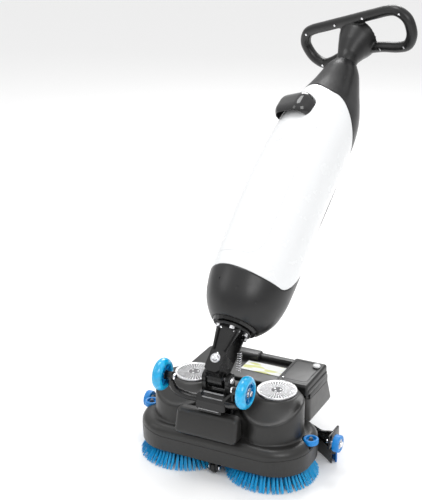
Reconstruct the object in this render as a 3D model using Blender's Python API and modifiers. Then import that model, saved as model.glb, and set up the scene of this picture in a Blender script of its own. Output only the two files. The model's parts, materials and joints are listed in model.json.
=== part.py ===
"""Compact walk-behind wet and dry floor scrubber: two counter-turning disc brushes under a
skirted deck, a rear recovery tank with a squeegee, and a clean-water body that leans, tilts and
swivels on a yoke over the deck. Metres, +Z up, the bumper faces -Y, the squeegee is at +Y."""

import bpy
import bmesh
from math import asin, cos, pi, radians, sin
from mathutils import Matrix, Vector

# ---------------------------------------------------------------- driving dimensions
GAP = 0.0004                   # running and seating clearance between neighbours
SEAM = 0.0007                  # gap along the body's curved seams
WELD = 0.00001                 # points this close are one
FOOTPRINT_CENTRE = (0.0000, 0.28293, 0.0)   # middle of the outline, where the origin lies

# brushes
BRUSH_X = 0.1150               # half of the distance between the brush spindles
BRUSH_R = 0.1142               # tip circle on the floor
BRUSH_BLOCK_R = 0.0905         # board that holds the tufts
BRISTLE_H = 0.0450
BLOCK_H = 0.0100

# deck
SKIRT_X, SKIRT_FRONT, SKIRT_REAR = 0.2175, -0.0990, 0.1040
SKIRT_CORNER = 0.0860
SKIRT_Z0, LEDGE_Z = 0.0400, 0.1060
WALL = 0.0035
DOME_X, DOME_Y, DOME_R = 0.1150, 0.0000, 0.0750
MOTOR_X, MOTOR_Y = 0.1100, 0.0370
MOTOR_R, MOTOR_CAP_R = 0.0318, 0.0485
DOME_TOP_Z, CAP_TOP_Z = 0.1880, 0.1965
CHASSIS_Z, CHASSIS_H = 0.0840, 0.0050

# transport wheels
WHEEL_X, WHEEL_Y, WHEEL_Z = 0.1060, -0.1280, 0.2640
WHEEL_R, WHEEL_W, WHEEL_HUB_R = 0.0390, 0.0240, 0.0245

# yoke between deck and body
TILT_Y, TILT_Z = -0.0530, 0.2420           # pin that the body leans on
LEAN_BACK = 47.1
PIN_UP = 0.0300                # lean pin above the tilt pin
SIDE_LEAN = 2.95
RIM_UP, RIM_FORWARD = 0.1210, 0.0220       # foot of the body over the tilt pin
SWIVEL = -27.25

# body (bottle) along its own axis from the foot: height, radius, and how far back its middle lies
BODY_LEN = 0.7700
BODY_PROFILE = [(0.000, 0.0530, 0.0000), (0.018, 0.0700, 0.0000), (0.045, 0.0870, -0.0005),
                (0.085, 0.0985, -0.0020), (0.130, 0.1030, -0.0040), (0.320, 0.1040, -0.0070),
                (0.500, 0.1010, 0.0010), (0.575, 0.0960, 0.0070), (0.620, 0.0880, 0.0090),
                (0.655, 0.0765, 0.0110), (0.690, 0.0635, 0.0110), (0.720, 0.0535, 0.0100),
                (0.747, 0.0440, 0.0090), (0.770, 0.0310, 0.0080)]
BODY_WALL = 0.0030
BODY_SIDES = 24
SPINE_HALF = 27.0              # half angle of the rear spine
LATCH_UP, LATCH_OUT = 0.5700, 0.0790
FOOT_PLATE_H = 0.0066

# grip loop
RING_UP, RING_FORWARD, RING_TILT = 0.1020, 0.0190, 27.0
RING_HALF, RING_DEPTH = 0.1800, 0.0960
GRIP_R = 0.0150
PANEL_TOP = 0.0125             # control panel over the loop's plane

# recovery tank
TANK_X, TANK_Y0, TANK_Y1 = 0.1640, 0.1080, 0.2300
TANK_Z0, TANK_Z1, TANK_TOP = 0.0760, 0.1600, 0.1890

# squeegee
SQ_X, SQ_END_Y, SQ_MID_Y = 0.2370, 0.0930, 0.1900
SQ_ROLLER_R, SQ_ROLLER_W = 0.0210, 0.0160
SQ_ROLLER_X, SQ_ROLLER_Y, SQ_ROLLER_Z = 0.2560, 0.0650, 0.0725

# corner guide rollers
GUIDE_X, GUIDE_Y, GUIDE_Z, GUIDE_R, GUIDE_H = 0.2130, 0.0025, 0.0955, 0.0180, 0.0130

# centre caster under the deck, in front of the brushes' meeting point
CASTER_R, CASTER_Y, CASTER_Z = 0.0140, -0.0740, 0.0165


# ---------------------------------------------------------------- scene, materials
for old in list(bpy.data.objects):
    bpy.data.objects.remove(old, do_unlink=True)

PARTS = bpy.data.collections.new("floor_scrubber")
CUTTERS = bpy.data.collections.new("cutters")
bpy.context.scene.collection.children.link(PARTS)
bpy.context.scene.collection.children.link(CUTTERS)


def material(name, colour, roughness, metallic=0.0):
    made = bpy.data.materials.new(name)
    made.use_nodes = True
    shader = made.node_tree.nodes["Principled BSDF"]
    shader.inputs["Base Color"].default_value = (*colour, 1.0)
    shader.inputs["Roughness"].default_value = roughness
    shader.inputs["Metallic"].default_value = metallic
    return made


CHARCOAL = material("charcoal_plastic", (0.045, 0.045, 0.048), 0.42)
GREY = material("grey_plastic", (0.120, 0.120, 0.125), 0.50)
BLACK = material("black_plastic", (0.010, 0.010, 0.011), 0.30)
GLOSS_BLACK = material("gloss_black_plastic", (0.006, 0.006, 0.007), 0.12)
WHITE = material("white_plastic", (0.850, 0.855, 0.860), 0.22)
CYAN = material("cyan_urethane", (0.000, 0.420, 0.720), 0.20)
BLUE = material("blue_bristle", (0.020, 0.270, 0.620), 0.55)
BLUE_RUBBER = material("blue_rubber", (0.015, 0.130, 0.480), 0.45)
STEEL = material("steel", (0.620, 0.620, 0.630), 0.28, 1.0)
ALUMINIUM = material("ribbed_aluminium", (0.480, 0.480, 0.490), 0.36, 1.0)
LABEL = material("blank_label", (0.820, 0.820, 0.720), 0.50)
COPPER = material("motor_body", (0.180, 0.180, 0.190), 0.45, 1.0)


# ---------------------------------------------------------------- modelling helpers
def empty(name, parent=None, location=(0.0, 0.0, 0.0), turn=None):
    """A frame that pieces are parented to: a turn in its parent's axes, then a place."""
    frame = bpy.data.objects.new(name, None)
    PARTS.objects.link(frame)
    frame.parent = parent
    frame.matrix_local = Matrix.Translation(location) @ (turn or Matrix.Identity(4))
    return frame


def put(name, mesh, finish, parent, location=(0.0, 0.0, 0.0), turn=None, collection=PARTS):
    piece = bpy.data.objects.new(name, mesh)
    collection.objects.link(piece)
    if finish:
        mesh.materials.append(finish)
    piece.parent = parent
    piece.matrix_local = Matrix.Translation(location) @ (turn or Matrix.Identity(4))
    return piece


def mesh_of(name, work):
    """Close a bmesh into a mesh: faces outwards, smooth but for the edges over 35 degrees."""
    bmesh.ops.recalc_face_normals(work, faces=work.faces)
    mesh = bpy.data.meshes.new(name)
    work.to_mesh(mesh)
    work.free()
    mesh.shade_smooth()
    mesh.set_sharp_from_angle(angle=radians(35.0))
    return mesh


def box(name, size, bevel=0.0, segments=2):
    work = bmesh.new()
    bmesh.ops.create_cube(work, size=1.0, matrix=Matrix.Diagonal((*size, 1.0)))
    if bevel:
        bmesh.ops.bevel(work, geom=work.edges[:], offset=bevel, segments=segments,
                        profile=0.5, affect="EDGES")
    return mesh_of(name, work)


def solid_from(name, data, sides=0):
    """The closed mesh of a curve, or of a profile spun about Z on a Screw modifier."""
    holder = bpy.data.objects.new(name + "_form", data)
    bpy.context.scene.collection.objects.link(holder)
    if sides:
        spin = holder.modifiers.new("spin", "SCREW")
        spin.axis = "Z"
        spin.steps = sides
        spin.render_steps = sides
        spin.use_merge_vertices = True
        spin.merge_threshold = WELD
    bpy.context.view_layer.update()
    graph = bpy.context.evaluated_depsgraph_get()
    mesh = bpy.data.meshes.new_from_object(holder.evaluated_get(graph))
    bpy.data.objects.remove(holder, do_unlink=True)
    work = bmesh.new()
    work.from_mesh(mesh)
    bpy.data.meshes.remove(mesh)
    bmesh.ops.remove_doubles(work, verts=work.verts[:], dist=WELD)
    return mesh_of(name, work)


def turned(name, profile, sides=24):
    """A solid of revolution about Z. The profile is (radius, height) points: a closed loop, or a
    line that starts and ends on the axis."""
    work = bmesh.new()
    points = [work.verts.new((radius, 0.0, height)) for radius, height in profile]
    for near, far in zip(points, points[1:]):
        work.edges.new((near, far))
    if profile[0][0] or profile[-1][0]:
        work.edges.new((points[-1], points[0]))
    wire = bpy.data.meshes.new(name + "_profile")
    work.to_mesh(wire)
    work.free()
    return solid_from(name, wire, sides)


def rod(name, radius, length, sides=16, chamfer=0.0006):
    """A pin along Z, centred, with chamfered ends."""
    half = length / 2.0
    return turned(name, [(0.0, -half), (radius - chamfer, -half), (radius, -half + chamfer),
                         (radius, half - chamfer), (radius - chamfer, half), (0.0, half)], sides)


def loft(name, rings, loop=False):
    """Skin a stack of rings with equal point counts. A stack is capped; a loop closes on itself."""
    work = bmesh.new()
    rows = [[work.verts.new(point) for point in ring] for ring in rings]
    count = len(rows[0])
    last = len(rows) if loop else len(rows) - 1
    for k in range(last):
        low, high = rows[k], rows[(k + 1) % len(rows)]
        for i in range(count):
            j = (i + 1) % count
            work.faces.new((low[i], low[j], high[j], high[i]))
    if not loop:
        work.faces.new(rows[0])
        work.faces.new(rows[-1])
    return mesh_of(name, work)


def slab(name, outline, thickness, bevel=0.0):
    """A flat outline in XY, centred on Z, with rounded rims."""
    curve = bpy.data.curves.new(name, "CURVE")
    curve.dimensions = "2D"
    curve.fill_mode = "BOTH"
    curve.extrude = thickness / 2.0 - bevel
    curve.bevel_depth = bevel
    curve.bevel_resolution = 1
    curve.offset = -bevel
    spline = curve.splines.new("POLY")
    spline.points.add(len(outline) - 1)
    for point, (x, y) in zip(spline.points, outline):
        point.co = (x, y, 0.0, 1.0)
    spline.use_cyclic_u = True
    return solid_from(name, curve)


def pipe(name, points, radius, sides_resolution=3, radii=None, cyclic=False):
    curve = bpy.data.curves.new(name, "CURVE")
    curve.dimensions = "3D"
    curve.bevel_depth = radius
    curve.bevel_resolution = sides_resolution
    curve.use_fill_caps = not cyclic
    spline = curve.splines.new("POLY")
    spline.points.add(len(points) - 1)
    for k, (point, place) in enumerate(zip(spline.points, points)):
        point.co = (*place, 1.0)
        point.radius = radii[k] if radii else 1.0
    spline.use_cyclic_u = cyclic
    return solid_from(name, curve)


def rounded_box_outline(half_x, y0, y1, corner, steps=5):
    """A rectangle with quarter-round corners, anticlockwise from the +X, +Y corner."""
    points = []
    centres = [(half_x - corner, y1 - corner, 0.0), (corner - half_x, y1 - corner, 90.0),
               (corner - half_x, y0 + corner, 180.0), (half_x - corner, y0 + corner, 270.0)]
    for cx, cy, start in centres:
        for k in range(steps + 1):
            angle = radians(start + 90.0 * k / steps)
            points.append((cx + corner * cos(angle), cy + corner * sin(angle)))
    return points


def circle_at(cx, cy, radius, z, sides=24):
    return [(cx + radius * cos(2.0 * pi * k / sides), cy + radius * sin(2.0 * pi * k / sides), z)
            for k in range(sides)]


def smooth(start, end, value):
    t = min(max((value - start) / (end - start), 0.0), 1.0)
    return t * t * (3.0 - 2.0 * t)


def spline_through(points, steps=6):
    """A Catmull-Rom curve through a few points."""
    out = []
    padded = [points[0]] + list(points) + [points[-1]]
    for k in range(1, len(padded) - 2):
        a, b, c, d = (Vector(p) for p in padded[k - 1:k + 3])
        for s in range(steps):
            t = s / steps
            out.append(tuple(0.5 * ((2.0 * b) + (c - a) * t + (2.0 * a - 5.0 * b + 4.0 * c - d) * t ** 2
                                    + (3.0 * b - a - 3.0 * c + d) * t ** 3)))
    out.append(tuple(points[-1]))
    return out


def tool(name, mesh, parent, location=(0.0, 0.0, 0.0), turn=None):
    """A cutter: drawn as wire and left out of the build."""
    cutter = put(name, mesh, None, parent, location, turn, CUTTERS)
    cutter.hide_render = True
    cutter.display_type = "WIRE"
    return cutter


def boolean(piece, cutter, operation="DIFFERENCE"):
    step = piece.modifiers.new(operation.lower() + "_" + cutter.name, "BOOLEAN")
    step.operation = operation
    step.object = cutter
    step.solver = "EXACT"


ALONG_X = Matrix.Rotation(pi / 2.0, 4, "Y")     # Z turned on to +X
ALONG_Y = Matrix.Rotation(-pi / 2.0, 4, "X")    # Z turned on to +Y
SIDES = (("left", -1.0), ("right", 1.0))
MACHINE = empty("machine", None, tuple(-c for c in FOOTPRINT_CENTRE))


# ---------------------------------------------------------------- deck
def skirt_ring(inset, z, drop=0.0):
    outline = rounded_box_outline(SKIRT_X - inset, SKIRT_FRONT + inset, SKIRT_REAR - inset,
                                  SKIRT_CORNER - inset)
    return [(x, y, z - drop) for x, y in outline]


def dome_rings(shrink):
    """The motor dome: a wide foot that gathers round the motor towards its top."""
    stations = [(LEDGE_Z - 0.0030 - 5.0 * shrink, 0.0, 0.0), (0.112, 0.0, 0.0),
                (0.150, 0.15, 0.0035), (0.172, 0.55, 0.0075), (0.183, 0.85, 0.0120),
                (DOME_TOP_Z, 1.0, 0.0180)]
    rings = []
    for z, shift, narrow in stations:
        radius = DOME_R - narrow - shrink
        top = z - (shrink if z == DOME_TOP_Z else 0.0)
        rings.append((shift, radius, top))
    return rings


def dome(name, side, shrink=0.0):
    rings = []
    for shift, radius, z in dome_rings(shrink):
        cx = side * (DOME_X + (MOTOR_X - DOME_X) * shift)
        cy = DOME_Y + (MOTOR_Y - 0.006 - DOME_Y) * shift
        rings.append(circle_at(cx, cy, radius, z))
    return loft(name, rings)


def deck():
    outer = [skirt_ring(0.0012, SKIRT_Z0), skirt_ring(0.0, SKIRT_Z0 + 0.018),
             skirt_ring(-0.0012, SKIRT_Z0 + 0.0186), skirt_ring(-0.0012, LEDGE_Z - 0.018),
             skirt_ring(0.0030, LEDGE_Z - 0.0075), skirt_ring(0.0100, LEDGE_Z - 0.0015),
             skirt_ring(0.0170, LEDGE_Z)]
    shell = put("deck_shell", loft("deck_shell", outer), CHARCOAL, MACHINE)
    for word, side in SIDES:
        bulge = tool("dome_form_" + word, dome("dome_form_" + word, side), MACHINE)
        boolean(shell, bulge, "UNION")
    saddle = [(0.1000, -0.0620), (0.1000, 0.0930), (-0.1000, 0.0930), (-0.1000, -0.0620)]
    middle = tool("saddle_form", slab("saddle_form", saddle[::-1], 0.0800, 0.0100), MACHINE,
                  (0.0, 0.0, 0.1150))
    boolean(shell, middle, "UNION")
    inner = [skirt_ring(WALL, SKIRT_Z0 - 0.01), skirt_ring(WALL, LEDGE_Z - 0.020),
             skirt_ring(WALL + 0.006, LEDGE_Z - 0.0075), skirt_ring(WALL + 0.013, LEDGE_Z - WALL)]
    boolean(shell, tool("skirt_hollow", loft("skirt_hollow", inner), MACHINE))
    for word, side in SIDES:
        boolean(shell, tool("dome_hollow_" + word, dome("dome_hollow_" + word, side, WALL), MACHINE))
        seat = tool("motor_seat_" + word, rod("motor_seat_" + word, MOTOR_CAP_R - 0.002, 0.030, 28),
                    MACHINE, (side * MOTOR_X, MOTOR_Y, DOME_TOP_Z))
        boolean(shell, seat)
        pocket = tool("guide_pocket_" + word,
                      rod("guide_pocket_" + word, GUIDE_R + 0.0030, 0.0500, 20), MACHINE,
                      (side * GUIDE_X, GUIDE_Y, GUIDE_Z - 0.0075 + 0.0250))
        boolean(shell, pocket)
    room = [(0.0900, -0.0570), (0.0900, 0.0880), (-0.0900, 0.0880), (-0.0900, -0.0570)]
    boolean(shell, tool("saddle_hollow", slab("saddle_hollow", room[::-1], 0.0700, 0.0050), MACHINE,
                        (0.0, 0.0, 0.1150)))
    bumper = box("front_bumper", (0.1640, 0.0470, 0.0580), 0.0130, 2)
    put("front_bumper", bumper, CHARCOAL, MACHINE, (-0.0080, -0.0915, LEDGE_Z + GAP + 0.0290))


def chassis():
    """The board inside the deck, with a gearbox and an upright motor on it for each brush."""
    board = slab("chassis_plate", rounded_box_outline(0.1760, -0.0800, 0.0860, 0.0600, 5), CHASSIS_H)
    plate = put("chassis_plate", board, STEEL, MACHINE, (0.0, 0.0, CHASSIS_Z + CHASSIS_H / 2.0))
    for word, side in SIDES:
        tab = tool("guide_tab_" + word, box("guide_tab", (0.0510, 0.0180, 0.0045)), MACHINE,
                   (side * (GUIDE_X - 0.0215), GUIDE_Y, GUIDE_Z - 0.0047))
        boolean(plate, tab, "UNION")
        pin = tool("guide_pin_" + word, rod("guide_pin", 0.0040, 0.0180, 14), MACHINE,
                   (side * GUIDE_X, GUIDE_Y, GUIDE_Z + 0.0060))
        boolean(plate, pin, "UNION")
        hole = tool("spindle_hole_" + word, rod("spindle_hole_" + word, 0.0110, 0.0300, 20), MACHINE,
                    (side * BRUSH_X, 0.0, CHASSIS_Z))
        boolean(plate, hole)
        ends = [(side * BRUSH_X, 0.0), (side * MOTOR_X, MOTOR_Y)]
        outline = []
        for (cx, cy), start in ((ends[1], 0.0), (ends[0], 180.0)):
            for k in range(9):
                angle = radians(start + 180.0 * k / 8)
                outline.append((cx + 0.0260 * cos(angle), cy + 0.0260 * sin(angle)))
        top = CHASSIS_Z + CHASSIS_H + GAP
        gearbox = slab("gearbox_" + word, outline, 0.0160, 0.0020)
        put("gearbox_" + word, gearbox, STEEL, MACHINE, (0.0, 0.0, top + 0.0080))
        can = turned("brush_motor_" + word, [(0.0, 0.0), (0.0280, 0.0), (MOTOR_R, 0.0040),
                                             (MOTOR_R, 0.0700), (0.0260, 0.0760), (0.0, 0.0760)], 18)
        put("brush_motor_" + word, can, COPPER, MACHINE,
            (side * MOTOR_X, MOTOR_Y, top + 0.0160 + GAP))
        cap_low = DOME_TOP_Z - 0.0040
        cap = turned("motor_cap_" + word,
                     [(0.0, cap_low + 0.0020), (MOTOR_CAP_R - 0.006, cap_low + 0.0020),
                      (MOTOR_CAP_R - 0.0025, DOME_TOP_Z + GAP), (MOTOR_CAP_R, DOME_TOP_Z + GAP),
                      (MOTOR_CAP_R, CAP_TOP_Z - 0.0030), (MOTOR_CAP_R - 0.0015, CAP_TOP_Z),
                      (MOTOR_CAP_R - 0.0040, CAP_TOP_Z), (MOTOR_CAP_R - 0.0045, CAP_TOP_Z - 0.0015),
                      (0.0120, CAP_TOP_Z - 0.0015), (0.0110, CAP_TOP_Z - 0.0005),
                      (0.0, CAP_TOP_Z - 0.0005)], 28)
        put("motor_cap_" + word, cap, ALUMINIUM, MACHINE, (side * MOTOR_X, MOTOR_Y, 0.0))


# ---------------------------------------------------------------- brushes
def brushes():
    for word, side in SIDES:
        axis = empty("brush_axis_" + word, MACHINE, (side * BRUSH_X, 0.0, 0.0))
        steps = 3
        slope = [(BRUSH_BLOCK_R + (BRUSH_R - BRUSH_BLOCK_R) * (1.0 - k / steps) ** 1.3, BRISTLE_H * k / steps)
                 for k in range(steps + 1)]
        ring = turned("bristles_" + word, [(0.0330, 0.0), *slope, (0.0330, BRISTLE_H)], 26)
        put("bristles_" + word, ring, BLUE, axis)
        low = BRISTLE_H + GAP
        high = low + BLOCK_H
        block = turned("brush_block_" + word,
                       [(0.0280, low - 0.0100), (0.0325, low - 0.0100), (0.0325, low), (0.0900, low),
                        (0.0925, low + 0.0030), (0.0925, high - 0.0020), (0.0900, high), (0.0280, high)], 24)
        put("brush_block_" + word, block, BLACK, axis)
        hub = turned("drive_hub_" + word,
                     [(0.0, low - 0.0060), (0.0270, low - 0.0060), (0.0270, high), (0.0240, high + 0.0120),
                      (0.0100, high + 0.0150), (0.0100, CHASSIS_Z + CHASSIS_H), (0.0, CHASSIS_Z + CHASSIS_H)],
                     18)
        put("drive_hub_" + word, hub, STEEL, axis)


# ---------------------------------------------------------------- pivot bracket, transport wheels
def wheel_arm(name, side):
    """A curved bar from the bracket's flank out and up to the wheel's axle."""
    route = [(side * 0.0420, -0.0890, 0.2020), (side * 0.0600, -0.0960, 0.2050),
             (side * 0.0800, -0.1080, 0.2180), (side * 0.0860, -0.1210, 0.2420),
             (side * 0.0865, WHEEL_Y, WHEEL_Z + 0.0020)]
    points = spline_through(route, 4)
    radii = [1.15 - 0.30 * k / (len(points) - 1) for k in range(len(points))]
    return pipe(name, points, 0.0085, 2, radii)


def front_gear():
    block = box("pivot_bracket", (0.0780, 0.0540, 0.0660), 0.0040, 1)
    bracket = put("pivot_bracket", block, BLACK, MACHINE, (0.0, -0.0330, 0.1552 + 0.0330 + GAP))
    ramp = tool("bracket_ramp", box("bracket_ramp", (0.2000, 0.0600, 0.0800)), MACHINE,
                (0.0, -0.0960, 0.2420), Matrix.Rotation(radians(-52.0), 4, "X"))
    nose = tool("bracket_nose", box("bracket_nose", (0.0760, 0.0420, 0.0360), 0.0040, 1), MACHINE,
                (0.0, -0.0790, 0.1960))
    boolean(bracket, nose, "UNION")
    boolean(bracket, ramp)
    for side in (-1.0, 1.0):
        ear = tool("ear_form_" + str(int(side)), rod("ear_form", 0.0180, 0.0100, 24), MACHINE,
                   (side * 0.0300, TILT_Y, TILT_Z), ALONG_X)
        neck = tool("ear_neck_" + str(int(side)), box("ear_neck", (0.0100, 0.0350, 0.0420), 0.0), MACHINE,
                    (side * 0.0300, TILT_Y + 0.0010, TILT_Z - 0.0210))
        boolean(bracket, neck, "UNION")
        boolean(bracket, ear, "UNION")
    boolean(bracket, tool("tilt_bore", rod("tilt_bore", 0.0060 + 0.0001, 0.1200, 24), MACHINE,
                          (0.0, TILT_Y, TILT_Z), ALONG_X))
    boolean(bracket, tool("block_room", rod("block_room", 0.0250, 0.0490, 20), MACHINE,
                          (0.0, TILT_Y, TILT_Z), ALONG_X))
    pin = rod("tilt_pin", 0.0060, 0.0760, 20)
    put("tilt_pin", pin, STEEL, MACHINE, (0.0, TILT_Y, TILT_Z), ALONG_X)
    for word, side in SIDES:
        arm = put("wheel_arm_" + word, wheel_arm("wheel_arm_" + word, side), BLACK, MACHINE)
        boolean(arm, tool("axle_bore_" + word, rod("axle_bore_" + word, 0.0041, 0.0600, 16), MACHINE,
                          (side * 0.0865, WHEEL_Y, WHEEL_Z), ALONG_X))
        shank = turned("axle_" + word, [(0.0, -0.0160), (0.0070, -0.0160), (0.0070, -0.0105),
                                        (0.0040, -0.0105), (0.0040, 0.0300), (0.0066, 0.0300),
                                        (0.0066, 0.0350), (0.0, 0.0350)], 18)
        turn = ALONG_X if side > 0 else Matrix.Rotation(-pi / 2.0, 4, "Y")
        put("axle_" + word, shank, STEEL, MACHINE, (side * 0.0865, WHEEL_Y, WHEEL_Z), turn)
        axis = empty("wheel_axis_" + word, MACHINE, (side * WHEEL_X, WHEEL_Y, WHEEL_Z), ALONG_X)
        half = WHEEL_W / 2.0
        round_over = [(WHEEL_R - (1.0 - cos(radians(a))) * 0.0110, half * sin(radians(a)))
                      for a in (-90, -50, -18, 18, 50, 90)]
        tyre = turned("wheel_tyre_" + word, [(WHEEL_HUB_R, -half), *round_over, (WHEEL_HUB_R, half)], 24)
        put("wheel_tyre_" + word, tyre, CYAN, axis)
        core = turned("wheel_hub_" + word,
                      [(0.0042, -0.0070), (0.0110, -0.0070), (0.0120, -0.0100), (WHEEL_HUB_R - GAP, -0.0100),
                       (WHEEL_HUB_R - GAP, 0.0100), (0.0120, 0.0100), (0.0110, 0.0070), (0.0042, 0.0070)], 20)
        put("wheel_hub_" + word, core, CYAN, axis)


# ---------------------------------------------------------------- corner rollers, caster
def small_rollers():
    for word, side in SIDES:
        wheel = turned("guide_roller_" + word,
                       [(0.0042, 0.0), (GUIDE_R - 0.0015, 0.0), (GUIDE_R, 0.0015),
                        (GUIDE_R, GUIDE_H - 0.0015),
                        (GUIDE_R - 0.0015, GUIDE_H), (GUIDE_R - 0.0055, GUIDE_H),
                        (GUIDE_R - 0.0065, GUIDE_H - 0.0040), (0.0042, GUIDE_H - 0.0040)], 20)
        put("guide_roller_" + word, wheel, BLUE_RUBBER, MACHINE, (side * GUIDE_X, GUIDE_Y, GUIDE_Z))
    fork = box("caster_fork", (0.0220, 0.0220, 0.0740), 0.0020, 1)
    place = (0.0, CASTER_Y, CHASSIS_Z - GAP - 0.0370)
    holder = put("caster_fork", fork, BLACK, MACHINE, place)
    boolean(holder, tool("caster_slot", box("caster_slot", (0.0130, 0.0400, 0.0500)), MACHINE,
                         (0.0, CASTER_Y, CASTER_Z + 0.0100)))
    boolean(holder, tool("caster_axle", rod("caster_axle", 0.0025, 0.0240, 14), MACHINE,
                         (0.0, CASTER_Y, CASTER_Z), ALONG_X), "UNION")
    wheel = turned("caster_wheel", [(0.0027, -0.0055), (CASTER_R - 0.002, -0.0055), (CASTER_R, -0.0030),
                                    (CASTER_R, 0.0030), (CASTER_R - 0.002, 0.0055), (0.0027, 0.0055)], 24)
    put("caster_wheel", wheel, BLACK, MACHINE, (0.0, CASTER_Y, CASTER_Z), ALONG_X)


# ---------------------------------------------------------------- squeegee
SQ_ARC = (SQ_X ** 2 + (SQ_MID_Y - SQ_END_Y) ** 2) / (2.0 * (SQ_MID_Y - SQ_END_Y))
SQ_PIVOT_Y, SQ_PIVOT_Z = 0.0850, 0.0290


def arc_bar(name, inner, outer, low, high, steps=16):
    """A bar along the squeegee's bow; its top may rise towards the ends."""
    reach = asin(SQ_X / SQ_ARC)
    rings = []
    for k in range(steps + 1):
        angle = reach * (2.0 * k / steps - 1.0)
        top = high(abs(angle) / reach) if callable(high) else high
        near, far = SQ_ARC + inner, SQ_ARC + outer
        centre = SQ_MID_Y - SQ_ARC
        rings.append([(near * sin(angle), centre + near * cos(angle), low),
                      (far * sin(angle), centre + far * cos(angle), low),
                      (far * sin(angle), centre + far * cos(angle), top),
                      (near * sin(angle), centre + near * cos(angle), top)])
    return loft(name, rings)


def squeegee():
    post = box("squeegee_mount", (0.0440, 0.0140, 0.0580), 0.0)
    mount = put("squeegee_mount", post, BLACK, MACHINE,
                (0.0, SQ_PIVOT_Y - 0.0160, CHASSIS_Z - GAP - 0.0290))
    for side in (-1.0, 1.0):
        tab = tool("mount_tab_" + str(int(side)), box("mount_tab", (0.0060, 0.0300, 0.0160), 0.0), MACHINE,
                   (side * 0.0190, SQ_PIVOT_Y - 0.0010, SQ_PIVOT_Z + 0.0040))
        boolean(mount, tab, "UNION")
    boolean(mount, tool("mount_bore", rod("mount_bore", 0.0041, 0.0600, 16), MACHINE,
                        (0.0, SQ_PIVOT_Y, SQ_PIVOT_Z), ALONG_X))
    put("squeegee_pin", rod("squeegee_pin", 0.0040, 0.0480, 16), STEEL, MACHINE,
        (0.0, SQ_PIVOT_Y, SQ_PIVOT_Z), ALONG_X)
    hinge = empty("squeegee_axis", MACHINE, (0.0, SQ_PIVOT_Y, SQ_PIVOT_Z))
    back = Matrix.Translation((0.0, -SQ_PIVOT_Y, -SQ_PIVOT_Z))
    holder = put("squeegee_holder",
                 arc_bar("squeegee_holder", -0.0045, 0.0045, 0.0240,
                         lambda t: 0.0540 + 0.0250 * smooth(0.70, 0.98, t)), BLACK, hinge, (0, 0, 0), back)
    stem = tool("holder_stem", box("holder_stem", (0.0260, 0.1120, 0.0140), 0.0), hinge,
                (0.0, 0.0500, 0.0010))
    boolean(holder, stem, "UNION")
    boolean(holder, tool("holder_bore", rod("holder_bore", 0.0041, 0.0600, 16), hinge, (0, 0, 0), ALONG_X))
    boolean(holder, tool("holder_trim", box("holder_trim", (0.0600, 0.0160, 0.0400)), hinge,
                         (0.0, -0.0138, 0.0)))
    front = put("squeegee_blade_front", arc_bar("squeegee_blade_front", -0.0085, -0.0049, 0.0, 0.0380),
                BLUE_RUBBER, hinge, (0, 0, 0), back)
    boolean(front, tool("blade_gate", box("blade_gate", (0.0280, 0.0400, 0.0240)), hinge,
                        (0.0, SQ_MID_Y - SQ_PIVOT_Y - 0.0070, 0.0010)))
    put("squeegee_blade_rear", arc_bar("squeegee_blade_rear", 0.0049, 0.0085, 0.0, 0.0380),
        BLUE_RUBBER, hinge, (0, 0, 0), back)
    for word, side in SIDES:
        place = (side * SQ_ROLLER_X, SQ_ROLLER_Y - SQ_PIVOT_Y, SQ_ROLLER_Z - SQ_PIVOT_Z)
        plate = box("end_plate", (0.0060, 0.0620, 0.0340), 0.0)
        boolean(holder, tool("end_plate_" + word, plate, hinge,
                             (side * (SQ_X - 0.0010), 0.0030, SQ_ROLLER_Z - SQ_PIVOT_Z)), "UNION")
        turn = ALONG_X if side > 0 else Matrix.Rotation(-pi / 2.0, 4, "Y")
        half = SQ_ROLLER_W / 2.0
        wheel = turned("squeegee_roller_" + word,
                       [(0.0043, -half), (SQ_ROLLER_R - 0.002, -half), (SQ_ROLLER_R, -half + 0.002),
                        (SQ_ROLLER_R, half - 0.002), (SQ_ROLLER_R - 0.002, half), (0.0043, half)], 20)
        put("squeegee_roller_" + word, wheel, BLUE_RUBBER, hinge, place, turn)
        bolt = turned("roller_bolt_" + word, [(0.0, -0.0270), (0.0042, -0.0270), (0.0042, half + 0.0006),
                                              (0.0075, half + 0.0006), (0.0075, half + 0.0040),
                                              (0.0, half + 0.0040)], 16)
        put("roller_bolt_" + word, bolt, STEEL, hinge, place, turn)
        boolean(holder, tool("roller_seat_" + word, rod("roller_seat_" + word, 0.0045, 0.1000, 16), hinge,
                             place, turn))


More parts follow.
